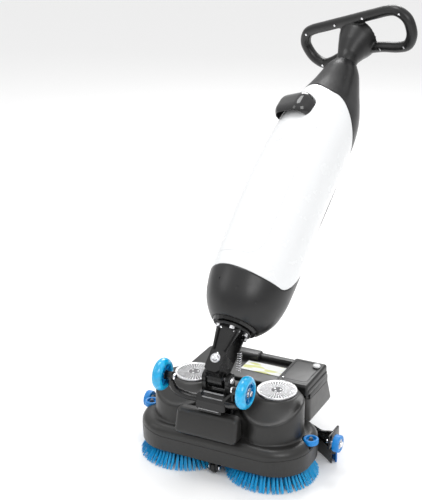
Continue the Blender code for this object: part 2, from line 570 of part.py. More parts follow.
# ---------------------------------------------------------------- recovery tank
def tank():
    low = [(x, y, TANK_Z0) for x, y in
           rounded_box_outline(TANK_X - 0.006, TANK_Y0, TANK_Y1 + 0.026, 0.012, 3)]
    belt = [(x, y, TANK_Z0 + 0.012) for x, y in
            rounded_box_outline(TANK_X, TANK_Y0, TANK_Y1 + 0.030, 0.014, 3)]
    top = [(x, y, TANK_Z1) for x, y in rounded_box_outline(TANK_X, TANK_Y0, TANK_Y1, 0.014, 3)]
    body = put("recovery_tank", loft("recovery_tank", [low, belt, top]), GREY, MACHINE)
    well_low = [(x, y, TANK_Z0 + 0.004) for x, y in
                rounded_box_outline(TANK_X - 0.010, TANK_Y0 + 0.003, TANK_Y1 + 0.022, 0.010, 3)]
    well_top = [(x, y, TANK_Z1 + 0.002) for x, y in
                rounded_box_outline(TANK_X - 0.004, TANK_Y0 + 0.003, TANK_Y1 - 0.004, 0.010, 3)]
    boolean(body, tool("tank_well", loft("tank_well", [well_low, well_top]), MACHINE))
    hinge = empty("lid_axis", MACHINE, (0.0, TANK_Y1 + 0.0045, TANK_Z1 + 0.0040))
    shift = (0.0, -(TANK_Y1 + 0.0045), -(TANK_Z1 + 0.0040))

    def block(name, x0, x1, y0, y1, z0, z1, bevel):
        made = box(name, (x1 - x0, y1 - y0, z1 - z0), bevel, 2)
        return made, tuple(Vector(((x0 + x1) / 2.0, (y0 + y1) / 2.0, (z0 + z1) / 2.0)) + Vector(shift))
    z0 = TANK_Z1 + GAP
    base, place = block("tank_lid", -TANK_X, TANK_X, 0.0960, TANK_Y1, z0, z0 + 0.0120, 0.0030)
    lid = put("tank_lid", base, CHARCOAL, hinge, place)
    for name, x0, x1, y0, y1, top_z in (("right_box", 0.0760, 0.1620, 0.0965, 0.2280, TANK_TOP),
                                        ("rear_ridge", -0.1000, -0.0120, 0.1950, 0.2290, TANK_TOP),
                                        ("rear_rail", -0.1000, 0.1000, 0.2080, 0.2285, TANK_TOP - 0.006)):
        mesh, place = block(name, x0, x1, y0, y1, z0 + 0.002, top_z, 0.0070)
        boolean(lid, tool(name, mesh, hinge, place), "UNION")
    plate = box("label_plate", (0.1060, 0.0480, 0.0010), 0.0)
    put("label_plate", plate, LABEL, hinge,
        tuple(Vector((0.0180, 0.1640, z0 + 0.0120 + GAP + 0.0005)) + Vector(shift)))
    cap = turned("filler_cap", [(0.0, 0.0), (0.0085, 0.0), (0.0090, 0.0005), (0.0090, 0.0040),
                                (0.0075, 0.0055), (0.0, 0.0055)], 20)
    put("filler_cap", cap, WHITE, hinge, tuple(Vector((0.1440, 0.2000, TANK_TOP + GAP)) + Vector(shift)))


# ---------------------------------------------------------------- yoke
def yoke():
    tilt = empty("tilt_axis", MACHINE, (0.0, TILT_Y, TILT_Z), Matrix.Rotation(radians(-LEAN_BACK), 4, "X"))
    lug = rod("cross_block", 0.0205, 0.0370, 22)
    block = put("cross_block", lug, BLACK, tilt, (0, 0, 0), ALONG_X)
    boolean(block, tool("block_form", box("block_form", (0.0350, 0.0580, 0.0520), 0.0), tilt,
                        (0.0, -0.0160, 0.0205)), "UNION")
    boolean(block, tool("block_tilt_bore", rod("block_tilt_bore", 0.0062, 0.0600, 24), tilt,
                        (0, 0, 0), ALONG_X))
    boolean(block, tool("block_lean_bore", rod("block_lean_bore", 0.0072, 0.0900, 24), tilt,
                        (0.0, -0.0160, PIN_UP), ALONG_Y))
    lean = empty("lean_axis", tilt, (0.0, 0.0, PIN_UP), Matrix.Rotation(radians(SIDE_LEAN), 4, "Y"))
    rise = RIM_UP - PIN_UP
    flange = turned("yoke_frame", [(0.0, rise - 0.0080), (0.0425, rise - 0.0080), (0.0440, rise - 0.0065),
                                   (0.0440, rise - 0.0020), (0.0425, rise - GAP), (0.0, rise - GAP)], 24)
    frame = put("yoke_frame", flange, BLACK, lean, (0.0, -RIM_FORWARD, 0.0))

    def cheek(name, y0, y1, foot, low_half, top_half):
        outline = [(low_half, foot + 0.006), (low_half + 0.001, 0.030), (top_half, rise - 0.012),
                   (top_half, rise - 0.004), (-top_half, rise - 0.004), (-top_half, rise - 0.012),
                   (-low_half - 0.001, 0.030), (-low_half, foot + 0.006), (-low_half + 0.006, foot),
                   (low_half - 0.006, foot)]
        flat = slab(name, outline, y1 - y0)
        return tool(name, flat, lean, (0.0, (y0 + y1) / 2.0, 0.0), Matrix.Rotation(pi / 2.0, 4, "X"))
    boolean(frame, cheek("front_cheek", -0.0515, -0.0458, -0.0330, 0.0185, 0.0300), "UNION")
    boolean(frame, cheek("rear_cheek", 0.0135, 0.0185, -0.0120, 0.0165, 0.0180), "UNION")
    for side in (-1.0, 1.0):
        rib = box("cheek_rib", (0.0045, 0.0080, 0.0560), 0.0010, 1)
        boolean(frame, tool("cheek_rib_" + str(int(side)), rib, lean, (side * 0.0180, -0.0535, 0.0490),
                            Matrix.Rotation(radians(side * 9.0), 4, "Y")), "UNION")
    boolean(frame, tool("yoke_bore", rod("yoke_bore", 0.0072, 0.1200, 24), lean, (0, 0, 0), ALONG_Y))
    pin = turned("lean_pin", [(0.0, -0.0600), (0.0085, -0.0600), (0.0115, -0.0570), (0.0115, -0.0520),
                              (0.0070, -0.0520), (0.0070, 0.0250), (0.0, 0.0250)], 24)
    put("lean_pin", pin, STEEL, lean, (0, 0, 0), ALONG_Y)
    springs(tilt)
    return lean


def springs(tilt):
    """Return springs from the bracket's rear lugs to the cross block: plain sleeves here."""
    for word, side in SIDES:
        foot, head = Vector((side * 0.0290, -0.0060, 0.2440)), Vector((side * 0.0290, 0.0020, 0.2900))
        body = pipe("return_spring_" + word, [tuple(foot), tuple(head)], 0.0058, 2)
        put("return_spring_" + word, body, STEEL, MACHINE)


# ---------------------------------------------------------------- body
def body_at(z):
    """The body's radius at a height, and how far its middle lies behind the axis."""
    for (z0, r0, b0), (z1, r1, b1) in zip(BODY_PROFILE, BODY_PROFILE[1:]):
        if z <= z1:
            share = (z - z0) / (z1 - z0)
            return r0 + (r1 - r0) * share, b0 + (b1 - b0) * share
    return BODY_PROFILE[-1][1:]


def body_point(turn, z, inset=0.0):
    """A point of the body's wall; turn is degrees from the front, +X positive."""
    radius, back = body_at(z)
    return ((radius - inset) * sin(radians(turn)), back - (radius - inset) * cos(radians(turn)), z)


def low_seam(turn):
    """Height of the seam between the foot cap and the tank; turn is degrees from the front."""
    return 0.1160 - 0.0080 * smooth(0.0, 70.0, turn) + 0.1200 * smooth(95.0, 165.0, turn)


def high_seam(turn):
    return 0.6560 - 0.0200 * smooth(0.0, 60.0, turn) - 0.1100 * smooth(55.0, 150.0, turn)


def stepped(rule, turn):
    """A rule's value on the straight run between the two body corners beside this angle."""
    low = SIDE_STEP * int(turn / SIDE_STEP)
    share = (turn - low) / SIDE_STEP
    return rule(low) * (1.0 - share) + rule(low + SIDE_STEP) * share


SIDE_STEP = 360.0 / BODY_SIDES
FULL_TURN = [SIDE_STEP * k - 180.0 for k in range(BODY_SIDES)]
TANK_EDGE = 180.0 - SPINE_HALF
OPEN_TURN = [-TANK_EDGE] + [t for t in FULL_TURN if abs(t) < TANK_EDGE - 1.0] + [TANK_EDGE]


def wall_section(turn, low, high, levels):
    """The wall cut at one angle: up its outside and down its inside."""
    base, top = stepped(low, abs(turn)), stepped(high, abs(turn))
    heights = [base + (top - base) * k / levels for k in range(levels + 1)]
    return ([body_point(turn, z) for z in heights]
            + [body_point(turn, z, BODY_WALL) for z in reversed(heights)])


def wall(name, turns, low, high, levels):
    """A thin wall between two seams: a whole sleeve, or one that stops short at the rear."""
    sections = [wall_section(turn, low, high, levels) for turn in turns]
    return loft(name, sections, loop=turns is FULL_TURN)


def body(lean):
    foot = empty("swivel_axis", lean, (0.0, -RIM_FORWARD, RIM_UP - PIN_UP),
                 Matrix.Rotation(radians(SWIVEL), 4, "Z"))
    cap = wall("foot_cap", FULL_TURN, lambda t: FOOT_PLATE_H + GAP, lambda t: low_seam(t) - SEAM, 5)
    put("foot_cap", cap, CHARCOAL, foot)
    plate = turned("foot_plate", [(0.0, 0.0), (0.0520, 0.0), (0.0560, FOOT_PLATE_H),
                                  (0.0, FOOT_PLATE_H)], BODY_SIDES)
    put("foot_plate", plate, BLACK, foot)
    put("clean_tank", wall("clean_tank", OPEN_TURN, low_seam, high_seam, 7), WHITE, foot)
    cap = wall("top_cap", FULL_TURN, lambda t: high_seam(t) + SEAM, lambda t: BODY_LEN, 5)
    put("top_cap", cap, CHARCOAL, foot)

    half = SPINE_HALF - 1.0
    spine_turns = [180.0 + half * share for share in (-1.0, -0.5, 0.0, 0.5, 1.0)]
    spine = []
    low, high = low_seam(180.0) + GAP, high_seam(180.0) - GAP
    for k in range(8):
        z = low + (high - low) * k / 7
        proud = 0.0100 * sin(pi * (0.15 + 0.70 * k / 7))
        spine.append([body_point(t, z, -proud) for t in spine_turns]
                     + [body_point(t, z, 0.0060) for t in reversed(spine_turns)])
    put("rear_spine", loft("rear_spine", spine), CHARCOAL, foot)
    mast = turned("mast_tube", [(0.0130, 0.0070), (0.0160, 0.0070), (0.0160, 0.6000),
                                (0.0130, 0.6000)], 16)
    put("mast_tube", mast, ALUMINIUM, foot, (0.0, 0.0400, 0.0))
    battery = box("battery_pack", (0.0780, 0.0640, 0.2200), 0.0050, 1)
    put("battery_pack", battery, GREY, foot, (0.0, -0.0130, 0.1750))
    pump = turned("water_pump", [(0.0, 0.0), (0.0240, 0.0), (0.0260, 0.0020), (0.0260, 0.0480),
                                 (0.0240, 0.0500), (0.0, 0.0500)], 20)
    put("water_pump", pump, COPPER, foot, (0.0, -0.0100, 0.3100))

    latch(foot)
    handle(foot)


def latch(foot):
    """A hood over the finger recess at the tank's shoulder."""
    hood = box("tank_latch", (0.1080, 0.0700, 0.0760), 0.0170, 2)
    piece = put("tank_latch", hood, GLOSS_BLACK, foot, (0.0, -LATCH_OUT, LATCH_UP),
                Matrix.Rotation(radians(-8.0), 4, "X"))
    heights = [0.4000 + 0.0200 * k for k in range(17)]
    room = loft("tank_room", [[body_point(turn, z, -GAP) for turn in FULL_TURN] for z in heights])
    boolean(piece, tool("tank_room", room, foot))
    recess = box("finger_recess", (0.0960, 0.0700, 0.0600), 0.0150, 2)
    boolean(piece, tool("finger_recess", recess, foot, (0.0, 0.0050 - LATCH_OUT, LATCH_UP - 0.0190),
                        Matrix.Rotation(radians(-8.0), 4, "X")))


# ---------------------------------------------------------------- handle
def grip_path():
    """Half of the loop, from the middle of the front bar to the middle of the rear bar."""
    front, rear = -0.0175, RING_DEPTH - 0.0180
    half = [(0.0, front), (0.0800, front), (0.1360, front + 0.0005), (0.1620, front + 0.0080),
            (RING_HALF, 0.0120), (RING_HALF + 0.001, 0.0360), (0.1720, 0.0610), (0.1480, rear + 0.0035),
            (0.1150, rear + 0.0035), (0.0700, rear - 0.0060), (0.0300, rear - 0.0100), (0.0, rear - 0.0110)]
    return half


def handle(foot):
    plane = empty("grip_plane", foot, (0.0, -RING_FORWARD, BODY_LEN + RING_UP),
                  Matrix.Rotation(radians(-RING_TILT), 4, "X"))
    half = spline_through([(x, y, 0.0) for x, y in grip_path()], 2)
    loop = half + [(-x, y, z) for x, y, z in half[-2:0:-1]]
    ring = pipe("grip_loop", loop, GRIP_R, 2, None, True)
    grip = put("grip_loop", ring, BLACK, plane)
    stations = [(GAP, 0.0075, 0.0250, 0.0250, 0.0), (0.022, 0.0070, 0.0290, 0.0300, 6.0),
                (0.048, 0.0080, 0.0390, 0.0400, 14.0), (0.072, 0.0110, 0.0500, 0.0500, 21.0),
                (0.091, 0.0145, 0.0590, 0.0560, RING_TILT)]
    rings = []
    for z, back, half_x, half_y, tilt in stations:
        turn = Matrix.Rotation(radians(-tilt), 3, "X")
        rings.append([tuple(turn @ Vector((half_x * cos(2 * pi * k / 20), half_y * sin(2 * pi * k / 20), 0.0))
                            + Vector((0.0, back, BODY_LEN + z))) for k in range(20)])
    funnel = tool("neck_form", loft("neck_form", rings), foot)
    boolean(grip, funnel, "UNION")
    outline = rounded_box_outline(0.0420, 0.0005, 0.0495, 0.0150, 3)
    panel = put("control_panel", slab("control_panel", outline, 0.0066, 0.0008), GLOSS_BLACK, plane,
                (0.0, 0.0, PANEL_TOP - 0.0033))
    for name, x, colour in (("power_button", -0.0180, CYAN), ("water_button", 0.0180, WHITE)):
        boolean(panel, tool(name + "_pocket", rod(name + "_pocket", 0.0090, 0.0064, 20, 0.0002), plane,
                            (x, 0.0250, PANEL_TOP)))
        knob = turned(name, [(0.0, 0.0), (0.0085, 0.0), (0.0085, 0.0030), (0.0075, 0.0042),
                             (0.0, 0.0042)], 20)
        put(name, knob, colour, plane, (x, 0.0250, PANEL_TOP - 0.0015))


deck()
chassis()
brushes()
front_gear()
small_rollers()
squeegee()
tank()
body(yoke())
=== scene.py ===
"""Looks of the compact wet and dry floor scrubber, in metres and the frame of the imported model.
Pieces are made in the machine's own axes, or in those of its tilting, leaning and turning body,
and ride on the bodies of the frame."""
import json
import random
from math import asin, cos, pi, radians, sin, sqrt

import bpy
import bmesh
from mathutils import Matrix, Vector


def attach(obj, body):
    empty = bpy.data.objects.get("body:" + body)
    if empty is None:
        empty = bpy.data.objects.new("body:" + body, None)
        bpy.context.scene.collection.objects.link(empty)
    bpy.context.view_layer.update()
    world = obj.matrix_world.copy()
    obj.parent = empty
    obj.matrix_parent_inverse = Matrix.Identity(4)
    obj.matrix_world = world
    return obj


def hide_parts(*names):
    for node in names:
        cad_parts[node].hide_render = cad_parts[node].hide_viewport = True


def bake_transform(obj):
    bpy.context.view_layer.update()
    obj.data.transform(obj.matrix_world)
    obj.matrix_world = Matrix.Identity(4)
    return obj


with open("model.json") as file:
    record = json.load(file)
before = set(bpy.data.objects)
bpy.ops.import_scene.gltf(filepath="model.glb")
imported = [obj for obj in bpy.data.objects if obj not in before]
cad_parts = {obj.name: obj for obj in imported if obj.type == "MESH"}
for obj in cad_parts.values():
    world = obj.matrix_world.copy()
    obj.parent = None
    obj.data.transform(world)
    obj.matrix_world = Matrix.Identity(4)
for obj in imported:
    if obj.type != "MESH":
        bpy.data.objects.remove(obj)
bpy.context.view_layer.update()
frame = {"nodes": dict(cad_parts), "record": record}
SCENE = bpy.context.scene
RAND = random.Random(7)

# ---------------------------------------------------------------- frames, from the record's joints
JOINTS = {joint["name"]: joint for joint in frame["record"]["behaviour"]["joints"]}


def axes(origin, x, y, z):
    turn = Matrix((x, y, z)).transposed().to_4x4()
    return Matrix.Translation(Vector(origin)) @ turn


def axis_of(name, sign=1.0):
    return Vector(JOINTS[name]["axis"]).normalized() * sign


SHIFT_Y = Vector(JOINTS["brush_spin_left"]["pos_m"]).y
MACHINE = Matrix.Translation((0.0, SHIFT_Y, 0.0))
X_AXIS = Vector((1.0, 0.0, 0.0))
LEAN_Y = axis_of("handle_lean")
BODY_U = axis_of("body_swivel")
LEAN = axes(JOINTS["handle_lean"]["pos_m"], LEAN_Y.cross(BODY_U), LEAN_Y, BODY_U)
BODY_V, BODY_W = axis_of("latch_open", -1.0), axis_of("water_tank_release", -1.0)
FOOT = axes(JOINTS["body_swivel"]["pos_m"], BODY_V, BODY_W, BODY_U)
RING_N = axis_of("power_press", -1.0)
RING = axes(FOOT @ Vector((0.0, -0.0190, 0.8720)), BODY_V, RING_N.cross(BODY_V), RING_N)
HERE = Matrix.Identity(4)
UPSIDE_DOWN = Matrix.Rotation(pi, 4, "X")
ALONG_X = Matrix.Rotation(pi / 2.0, 4, "Y")
ALONG_Y = Matrix.Rotation(-pi / 2.0, 4, "X")
SIDES = (("left", -1.0), ("right", 1.0))


def at(x, y, z, base=MACHINE, turn=HERE):
    return base @ Matrix.Translation((x, y, z)) @ turn


def facing(side):
    """Turn +Z to point out of the machine's left (-1) or right (1) side."""
    return Matrix.Rotation(side * pi / 2.0, 4, "Y")


# ---------------------------------------------------------------- materials
class Nodes:
    """A material's node tree with its Principled shader, built a step at a time."""

    def __init__(self, name, colour, rough, metal=0.0, **sockets):
        self.made = bpy.data.materials.new(name)
        self.made.use_nodes = True
        self.tree = self.made.node_tree
        self.shader = self.tree.nodes["Principled BSDF"]
        self.colour = (*colour, 1.0)
        self.shader.inputs["Base Color"].default_value = self.colour
        self.shader.inputs["Roughness"].default_value = rough
        self.shader.inputs["Metallic"].default_value = metal
        for key, value in sockets.items():
            self.shader.inputs[key.replace("_", " ")].default_value = value
        self.place = self.add("ShaderNodeTexCoord").outputs["Object"]

    def add(self, kind, **settings):
        node = self.tree.nodes.new(kind)
        for key, value in settings.items():
            setattr(node, key, value)
        return node

    def link(self, a, b):
        self.tree.links.new(a, b)

    def noise(self, scale, detail=3.0, rough=0.55, stretch=None):
        node = self.add("ShaderNodeTexNoise")
        node.inputs["Scale"].default_value = scale
        node.inputs["Detail"].default_value = detail
        node.inputs["Roughness"].default_value = rough
        source = self.place
        if stretch:
            mapping = self.add("ShaderNodeMapping")
            mapping.inputs["Scale"].default_value = stretch
            self.link(self.place, mapping.inputs["Vector"])
            source = mapping.outputs["Vector"]
        self.link(source, node.inputs["Vector"])
        return node.outputs["Fac"]

    def band(self, source, low, high, start=0.35, end=0.65):
        node = self.add("ShaderNodeMapRange")
        for key, value in (("From Min", start), ("From Max", end), ("To Min", low), ("To Max", high)):
            node.inputs[key].default_value = value
        self.link(source, node.inputs["Value"])
        return node.outputs["Result"]

    def vary_rough(self, scale, low, high):
        self.link(self.band(self.noise(scale), low, high), self.shader.inputs["Roughness"])
        return self

    def vary_colour(self, source, darker, lighter, low=0.35, high=0.65):
        ramp = self.add("ShaderNodeValToRGB")
        ramp.color_ramp.elements[0].position = low
        ramp.color_ramp.elements[1].position = high
        ramp.color_ramp.elements[0].color = (*darker, 1.0)
        ramp.color_ramp.elements[1].color = (*lighter, 1.0)
        self.link(source, ramp.inputs["Fac"])
        self.link(ramp.outputs["Color"], self.shader.inputs["Base Color"])
        return self

    def bump(self, source, strength, distance=0.0002):
        node = self.add("ShaderNodeBump")
        node.inputs["Strength"].default_value = strength
        node.inputs["Distance"].default_value = distance
        self.link(source, node.inputs["Height"])
        self.link(node.outputs["Normal"], self.shader.inputs["Normal"])
        return self


def tone(colour, factor):
    return tuple(min(1.0, c * factor) for c in colour)


def moulded(name, colour, rough, grain=1400.0, strength=0.12, spread=0.10, **sockets):
    """Injection-moulded plastic: fine spark grain, slow changes in gloss, faint handling marks."""
    made = Nodes(name, colour, rough, 0.0, **sockets)
    made.vary_colour(made.noise(9.0, 4.0), tone(colour, 1.0 - spread), tone(colour, 1.0 + spread))
    made.vary_rough(38.0, rough - 0.03, rough + 0.04)
    made.bump(made.noise(grain, 2.0), strength, 0.00012)
    return made.made


def metal(name, colour, rough, stretch=(1.0, 1.0, 1.0), strength=0.15):
    made = Nodes(name, colour, rough, 1.0)
    made.vary_colour(made.noise(160.0, 3.0), tone(colour, 0.86), tone(colour, 1.10))
    made.vary_rough(420.0, rough - 0.07, rough + 0.10)
    made.bump(made.noise(900.0, 2.0, 0.5, stretch), strength, 0.00008)
    return made.made


CHARCOAL = moulded("deck_plastic", (0.0150, 0.0146, 0.0140), 0.36, 1500.0, 0.22, 0.08)
CAP_BLACK = moulded("cap_plastic", (0.0090, 0.0090, 0.0094), 0.33, 1500.0, 0.16, 0.10)
BLACK = moulded("frame_black", (0.0028, 0.0028, 0.0030), 0.24, 900.0, 0.16, 0.20)
SOFT_BLACK = moulded("grip_black", (0.0045, 0.0045, 0.0048), 0.34, 1700.0, 0.25, 0.15)
GLOSS = moulded("latch_gloss", (0.0060, 0.0060, 0.0068), 0.12, 300.0, 0.02, 0.15, Coat_Weight=0.6)
TANK_GREY = moulded("tank_grey", (0.075, 0.074, 0.072), 0.42, 1300.0, 0.20, 0.06)
LID_BLACK = moulded("lid_plastic", (0.0085, 0.0085, 0.0085), 0.34, 1400.0, 0.20, 0.10)
WHITE = moulded("tank_white", (0.80, 0.81, 0.82), 0.24, 240.0, 0.010, 0.004, Coat_Weight=0.35)
BLUE_RUBBER = moulded("blue_rubber", (0.003, 0.210, 0.600), 0.38, 1100.0, 0.18, 0.10)
BLADE = moulded("blade_rubber", (0.002, 0.120, 0.420), 0.42, 800.0, 0.15, 0.14)
DARK = moulded("dark_recess", (0.004, 0.004, 0.005), 0.55, 900.0, 0.10, 0.10)
STEEL = metal("zinc_steel", (0.72, 0.72, 0.74), 0.20)
CHROME = metal("bright_steel", (0.86, 0.86, 0.88), 0.10)
ALUMINIUM = metal("cast_aluminium", (0.66, 0.66, 0.67), 0.30)
RIM_WHITE = moulded("rim_light", (0.76, 0.77, 0.78), 0.26, 500.0, 0.03, 0.03)
# Light grey for the bracket's ribs: a painted highlight standing for light caught on the edges of black gloss ribs.
EDGE = moulded("painted_highlight_edge", (0.26, 0.26, 0.265), 0.30, 700.0, 0.10, 0.20)
GREY = moulded("inner_grey", (0.110, 0.110, 0.115), 0.50, 900.0, 0.20, 0.10)


def cyan(name, colour, weight):
    made = Nodes(name, colour, 0.14, 0.0, Coat_Weight=0.5, Subsurface_Weight=weight,
                 Subsurface_Radius=(0.002, 0.012, 0.016), Subsurface_Scale=0.6)
    made.vary_colour(made.noise(70.0, 3.0), tone(colour, 0.82), tone(colour, 1.12))
    made.vary_rough(120.0, 0.10, 0.20)
    made.bump(made.noise(260.0, 2.0), 0.04, 0.0001)
    return made.made


TYRE = cyan("cyan_tyre", (0.003, 0.400, 0.720), 0.30)
CORE = cyan("cyan_core", (0.004, 0.200, 0.480), 0.12)


def bristle_material():
    made = Nodes("brush_nylon", (0.010, 0.330, 0.780), 0.34, 0.0, Sheen_Weight=0.15)
    split = made.add("ShaderNodeSeparateXYZ")
    made.link(made.place, split.inputs["Vector"])
    # Darker towards the roots, up under the board and the deck: painted shade, mixed with random tone from the noise.
    height = made.band(split.outputs["Z"], 0.0, 1.0, 0.040, 0.004)
    noise_and_root_shade = made.add("ShaderNodeMath", operation="MULTIPLY_ADD")
    made.link(made.noise(230.0, 2.0), noise_and_root_shade.inputs[0])
    noise_and_root_shade.inputs[1].default_value = 0.45
    made.link(height, noise_and_root_shade.inputs[2])
    made.vary_colour(noise_and_root_shade.outputs["Value"], (0.001, 0.070, 0.230), (0.004, 0.370, 0.720), 0.05, 0.70)
    made.bump(made.noise(1200.0, 2.0, 0.5, (1.0, 1.0, 0.05)), 0.2, 0.0001)
    return made.made


BRISTLE = bristle_material()


def label_material():
    """A plain film with pale blocks of colour and no print."""
    made = Nodes("label_film", (0.80, 0.81, 0.80), 0.38)
    made.vary_colour(made.noise(30.0, 0.0, 0.4, (0.7, 2.6, 1.0)), (0.78, 0.79, 0.78),
                     (0.62, 0.64, 0.22), 0.50, 0.56)
    made.bump(made.noise(700.0, 2.0), 0.05, 0.0001)
    return made.made


LABEL = label_material()


# ---------------------------------------------------------------- making pieces
def settle(piece, place, finish, body, instead=(), angle=38.0):
    """Bake the place into the mesh, give the finish, and ride on the body."""
    piece.data.transform(place)
    if place.to_3x3().determinant() < 0.0:
        piece.data.flip_normals()
    piece.data.materials.clear()
    piece.data.materials.append(finish)
    piece.data.shade_smooth()
    piece.data.set_sharp_from_angle(angle=radians(angle))
    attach(piece, body)
    if instead:
        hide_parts(*instead)
    return piece


def object_of(name, work, clean=True):
    if clean:
        bmesh.ops.remove_doubles(work, verts=work.verts[:], dist=1e-6)
        face_out(work)
    mesh = bpy.data.meshes.new(name)
    work.to_mesh(mesh)
    work.free()
    piece = bpy.data.objects.new(name, mesh)
    SCENE.collection.objects.link(piece)
    return piece


def add_loft(work, rings, loop=False, caps=True):
    rows = [[work.verts.new(point) for point in ring] for ring in rings]
    count = len(rows[0])
    for k in range(len(rows) if loop else len(rows) - 1):
        low, high = rows[k], rows[(k + 1) % len(rows)]
        for i in range(count):
            j = (i + 1) % count
            work.faces.new((low[i], low[j], high[j], high[i]))
    if caps and not loop:
        work.faces.new(rows[0][::-1])
        work.faces.new(rows[-1])


def add_lathe(work, profile, sides, place=HERE):
    """Spin a closed (radius, height) profile about Z."""
    made = bmesh.new()
    rings = []
    for side in range(sides):
        angle = 2.0 * pi * side / sides
        rings.append([(r * cos(angle), r * sin(angle), z) for r, z in profile])
    add_loft(made, rings, True)
    bmesh.ops.remove_doubles(made, verts=made.verts[:], dist=1e-6)
    bmesh.ops.dissolve_degenerate(made, dist=1e-7, edges=made.edges[:])
    face_out(made)
    join(work, made, place)


def join(work, made, place=HERE):
    spare = bpy.data.meshes.new("spare")
    made.transform(place)
    made.to_mesh(spare)
    made.free()
    work.from_mesh(spare)
    bpy.data.meshes.remove(spare)


def face_out(work):
    bmesh.ops.recalc_face_normals(work, faces=work.faces)


def join_loft(work, rings, loop=False, place=HERE):
    made = bmesh.new()
    add_loft(made, rings, loop)
    face_out(made)
    join(work, made, place)


def round_edges(work, offset, segments):
    bmesh.ops.bevel(work, geom=work.edges[:], offset=offset, segments=segments, profile=0.5,
                    affect="EDGES")


def add_box(work, size, place, bevel=0.0, segments=3):
    made = bmesh.new()
    bmesh.ops.create_cube(made, size=1.0, matrix=Matrix.Diagonal((*size, 1.0)))
    if bevel:
        round_edges(made, bevel, segments)
    join(work, made, place)


def add_tube(work, points, radius, sides=12, cyclic=False, radii=None):
    """A round tube along points, its rings kept from twisting."""
    points = [Vector(p) for p in points]
    count = len(points)
    rings = []
    normal = None
    for k, point in enumerate(points):
        if cyclic:
            along = (points[(k + 1) % count] - points[k - 1]).normalized()
        else:
            along = (points[min(k + 1, count - 1)] - points[max(k - 1, 0)]).normalized()
        if normal is None:
            normal = along.orthogonal().normalized()
        normal = (normal - along * normal.dot(along)).normalized()
        across = along.cross(normal)
        size = radius * (radii[k] if radii else 1.0)
        rings.append([point + (normal * cos(2 * pi * s / sides)
                               + across * sin(2 * pi * s / sides)) * size for s in range(sides)])
    if cyclic:
        shift = min(range(sides), key=lambda s: (rings[-1][0] - rings[0][s]).length)
        last = rings[-1]
        rings[-1] = last[-shift:] + last[:-shift] if shift else last
    join_loft(work, rings, cyclic)


def ease(start, end, value):
    t = min(max((value - start) / (end - start), 0.0), 1.0)
    return t * t * (3.0 - 2.0 * t)


def spline_through(points, steps=6, cyclic=False):
    out = []
    points = [Vector(p) for p in points]
    padded = [points[-1]] + points + points[:2] if cyclic else [points[0]] + points + [points[-1]]
    for k in range(1, len(padded) - 2):
        a, b, c, d = padded[k - 1:k + 3]
        for s in range(steps):
            t = s / steps
            out.append(0.5 * ((2.0 * b) + (c - a) * t + (2.0 * a - 5.0 * b + 4.0 * c - d) * t ** 2
                              + (3.0 * b - a - 3.0 * c + d) * t ** 3))
    if not cyclic:
        out.append(points[-1])
    return out


def bake(piece, *tools):
    """Apply the piece's modifiers and drop the tools they used."""
    bpy.context.view_layer.update()
    graph = bpy.context.evaluated_depsgraph_get()
    mesh = bpy.data.meshes.new_from_object(piece.evaluated_get(graph))
    old = piece.data
    piece.modifiers.clear()
    piece.data = mesh
    bpy.data.meshes.remove(old)
    for used in tools:
        data = used.data
        bpy.data.objects.remove(used, do_unlink=True)
        bpy.data.meshes.remove(data)
    return piece


def cut(piece, tools, operation="DIFFERENCE", solver="EXACT"):
    for used in tools:
        step = piece.modifiers.new("cut", "BOOLEAN")
        step.operation = operation
        step.object = used
        step.solver = solver
    return bake(piece, *tools)


def fuse(piece, voxel, rounds):
    """Melt overlapping shapes into one skin with soft inner corners."""
    step = piece.modifiers.new("melt", "REMESH")
    step.mode = "VOXEL"
    step.voxel_size = voxel
    soft = piece.modifiers.new("soften", "SMOOTH")
    soft.factor = 0.5
    soft.iterations = rounds
    return bake(piece)


def lathe_piece(name, profile, sides, place, finish, body, instead=(), angle=38.0):
    work = bmesh.new()
    add_lathe(work, profile, sides)
    return settle(object_of(name, work), place, finish, body, instead, angle)


def rounded_outline(half_x, y0, y1, corner, steps=12):
    points = []
    centres = [(half_x - corner, y1 - corner, 0.0), (corner - half_x, y1 - corner, 90.0),
               (corner - half_x, y0 + corner, 180.0), (half_x - corner, y0 + corner, 270.0)]
    for cx, cy, start in centres:
        for k in range(steps + 1):
            angle = radians(start + 90.0 * k / steps)
            points.append((cx + corner * cos(angle), cy + corner * sin(angle)))
    return points


def outline_at(z, *shape):
    return [(x, y, z) for x, y in rounded_outline(*shape)]


def sleeve(inner, outer, low, high):
    """The square (radius, height) profile of a sleeve, or of a disc when inner is 0."""
    return [(inner, low), (outer, low), (outer, high), (inner, high)]


def around(radius, count, z, start=0.0):
    """Places spaced evenly round a circle, the first at start degrees."""
    for k in range(count):
        angle = radians(start) + 2.0 * pi * k / count
        yield Matrix.Translation((radius * cos(angle), radius * sin(angle), z))


def paint(finish, *nodes):
    """A carried-over CAD node gets the finished material."""
    for name in nodes:
        mesh = frame["nodes"][name].data
        mesh.materials.clear()
        mesh.materials.append(finish)


# ---------------------------------------------------------------- deck shell
SKIRT_X, SKIRT_FRONT, SKIRT_REAR, SKIRT_CORNER = 0.2175, -0.0990, 0.1040, 0.0860
SKIRT_Z0, LEDGE_Z, WALL, SHOULDER_R = 0.0400, 0.1060, 0.0035, 0.0200
DOME_X, DOME_Y, DOME_R, DOME_TOP_Z = 0.1150, 0.0, 0.0750, 0.1880
MOTOR_X, MOTOR_Y, CAP_R, CAP_TOP_Z = 0.1100, 0.0370, 0.0485, 0.1965
GUIDE_X, GUIDE_Y, GUIDE_Z, GUIDE_R, GUIDE_H = 0.2130, 0.0025, 0.0955, 0.0180, 0.0130


def skirt_ring(inset, z):
    return outline_at(z, SKIRT_X - inset, SKIRT_FRONT + inset, SKIRT_REAR - inset,
                      SKIRT_CORNER - inset)


